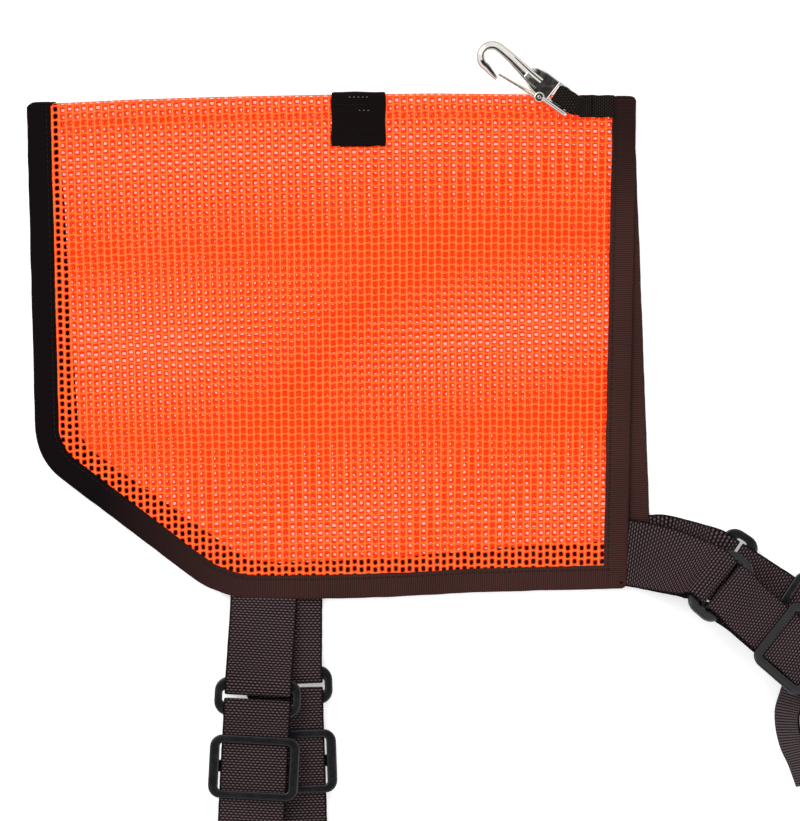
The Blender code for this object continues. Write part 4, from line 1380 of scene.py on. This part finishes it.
def round_bar(line, radii, where, count):
    """A bar of oval section, given its half width and half depth at each point of its line."""
    line = [Vector(point) for point in line]
    sections = []
    for i, here in enumerate(line):
        along = direction(line, i)
        side = Vector((-along.y, along.x, 0.0)).normalized()
        wide, deep = radii[i]
        section = []
        for k in range(count):
            turn = math.tau * k / count
            section.append(where @ (here + side * wide * math.cos(turn) + UP * deep * math.sin(turn)))
        sections.append(section)
    return swept(sections)


def smooth_line(points, steps=6):
    """A Catmull-Rom curve through flat points."""
    points = [Vector(point) for point in points]
    found = []
    for i in range(len(points) - 1):
        a = points[max(i - 1, 0)]
        b, c = points[i], points[i + 1]
        d = points[min(i + 2, len(points) - 1)]
        for step in range(steps):
            t = step / steps
            square, cube = 2 * a - 5 * b + 4 * c - d, 3 * b - a - 3 * c + d
            found.append(0.5 * (2 * b + (c - a) * t + square * t * t + cube * t**3))
    found.append(points[-1])
    return found


def circle(centre, radius):
    return arc(centre, radius, 0.0, math.tau, 25)[:-1]


def cast(shape, **settings):
    """A part of the hook's casting from its points and faces."""
    points, faces = shape
    return outward(piece("hook_part", points, faces, CHROME, **settings))


def hook_bend(where):
    """The grooved shank, its bend and its nose."""
    turn = 13
    shank = [(20.0, 4.3), (27.0, 4.0), (34.0, 3.2), (41.0, 2.4), (47.0, 2.1)]
    bend = arc((50.6, 8.6), 6.5, -math.pi / 2 + 0.1, math.pi / 2 + 0.15, turn)
    nose = [(45.5, 15.9), (43.0, 16.4), (40.8, 16.8)]
    knots = shank + bend + nose
    widths = [8.2, 7.8, 6.9, 6.1, 5.7] + [5.5 - 0.06 * i for i in range(turn)] + [3.9, 3.0, 1.8]
    thick = [5.6, 5.6, 5.5, 5.4, 5.3] + [5.2] * turn + [4.6, 3.9, 2.8]
    line = smooth_line(knots, 3)
    stations = np.linspace(0, len(knots) - 1, len(line))
    widths, thick = (np.interp(stations, range(len(knots)), row) for row in (widths, thick))
    return cast(channel_bar(line, widths, thick, where), angle=45.0)


def hook_yoke(where):
    """The flat yoke, and the lug that carries the gate."""
    yoke = [(11.0, -4.1), (20.0, -4.0), (26.5, -2.6), (30.0, 0.4)]
    yoke += [(30.0, 6.6), (23.0, 9.6), (15.0, 10.9), (11.0, 10.6)]
    plate = settled(bevelled(solid("hook_part", where, prism(yoke, -2.2, 2.2), CHROME), 0.9, 4))
    lug = solid("hook_part", where, prism(circle(GATE_PIN, 3.0), -3.0, 3.0), CHROME)
    return [plate, settled(bevelled(lug, 0.7, 3))]


def hook_eye(where):
    """The bar round the webbing, and the longer arm beside it with its rounded end."""
    eye = [(12.5, -3.1, 0), (7.0, -3.3, 0), (1.6, -3.2, 0), (0.0, -1.6, 0), (0.0, 2.3, 0)]
    eye = smooth_line(eye + [(0.0, 6.2, 0), (1.6, 7.9, 0), (7.0, 8.0, 0), (12.5, 7.9, 0)], 6)
    bar = cast(round_bar(eye, [(1.3, 2.1)] * len(eye), where, 14))
    arm = [(14.0, 9.7, 0.3), (10.0, 9.5, 0.8), (4.0, 9.2, 1.2)]
    arm = smooth_line(arm + [(-1.0, 9.0, 1.2), (-2.6, 9.0, 1.2), (-3.4, 9.0, 1.2)], 4)
    taper = (0.0, 3.0, 4.0, 4.6, 5.0), (1.0, 1.0, 0.88, 0.55, 0.12)
    taper = np.interp(np.linspace(0.0, 5.0, len(arm)), *taper)
    return [bar, cast(round_bar(arm, [(1.75 * share, 2.9 * share) for share in taper], where, 16))]


def hook_parts():
    """Snap hook: grooved bend and shank, flat yoke with its eye, leaf gate and rivet."""
    where = hook_axes()
    body = joined("hook_casting", [hook_bend(where), *hook_yoke(where), *hook_eye(where)])
    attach(body, "snap_hook")
    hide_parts("hook_body")

    pin = solid("hook_pin", where, prism(circle(GATE_PIN, 1.1), -3.3, 3.3), CHROME)
    pin = settled(bevelled(pin, 0.45, 3))
    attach(pin, "snap_hook")
    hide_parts("hook_rivet")

    leaf = smooth_line([(14.0, 10.1), (18.5, 10.9), (25.0, 11.8), (33.0, 12.9), (41.6, 14.0)], 5)
    widths = np.interp(np.linspace(0, 1, len(leaf)), (0, 0.15, 0.5, 1.0), (3.6, 3.2, 2.0, 1.5))
    points, faces = channel_bar(leaf, widths, [2.8] * len(leaf), where)
    gate = outward(piece("hook_leaf", points, faces, SPRING, angle=45.0))
    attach(gate, "snap_hook_gate")
    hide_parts("hook_gate")


# Studio ----------------------------------------------------------------------------------------


def area_light(name, energy, size, spot, aim):
    """A square lamp at a spot, turned to what it aims at."""
    light = bpy.data.lights.new(name, "AREA")
    light.energy = energy
    light.size = size
    made = bpy.data.objects.new(name, light)
    bpy.context.collection.objects.link(made)
    made.location = spot
    made.rotation_euler = (Vector(aim) - Vector(spot)).to_track_quat("-Z", "Y").to_euler()


def studio():
    """White floor, even sky with a darker horizon and a dark ceiling, a key, a fill and the camera."""
    points, faces = box((-FLOOR_REACH, -FLOOR_REACH, -12.0), (FLOOR_REACH, FLOOR_REACH, FLOOR_TOP))
    floor = piece("studio_floor", points, faces, floor_finish(), angle=30.0)
    world = bpy.data.worlds.new("studio")
    bpy.context.scene.world = world
    world.use_nodes = True
    tree = world.node_tree
    background = tree.nodes["Background"]
    coordinates = tree.nodes.new("ShaderNodeTexCoord")
    split = tree.nodes.new("ShaderNodeSeparateXYZ")
    ramp = tree.nodes.new("ShaderNodeValToRGB")
    tree.links.new(coordinates.outputs["Generated"], split.inputs[0])
    tree.links.new(split.outputs[2], ramp.inputs[0])
    tree.links.new(ramp.outputs[0], background.inputs[0])
    lowest, horizon = ramp.color_ramp.elements
    lowest.position, lowest.color = 0.0, (0.22, 0.22, 0.23, 1.0)
    horizon.position, horizon.color = 0.55, (1.0, 1.0, 1.0, 1.0)
    for height, level in ((0.90, 1.0), (0.94, 0.03)):
        ramp.color_ramp.elements.new(height).color = (level, level, level, 1.0)
    background.inputs[1].default_value = WORLD_STRENGTH
    area_light("key", KEY_POWER, 1.4, (-1.0, 1.1, 1.7), (0.0, 0.0, 0.0))
    area_light("fill", FILL_POWER, 1.2, (1.5, -0.6, 1.4), (0.0, 0.0, 0.0))
    camera = bpy.data.cameras.new("camera")
    camera.sensor_fit = "HORIZONTAL"
    camera.sensor_width = SENSOR_WIDTH
    camera.lens = SENSOR_WIDTH * CAMERA_DISTANCE / VIEW_WIDTH
    camera.clip_end = 20.0
    made = bpy.data.objects.new("camera", camera)
    bpy.context.collection.objects.link(made)
    made.location = ORIGIN + Vector((0.0, 0.0, CAMERA_DISTANCE))
    bpy.context.scene.camera = made
    bpy.context.scene.view_settings.view_transform = "Standard"


def main():
    studio()
    vest_cloth()
    straps()
    spine_tab()
    collar_band()
    hook_webbing()
    hook_parts()


main()
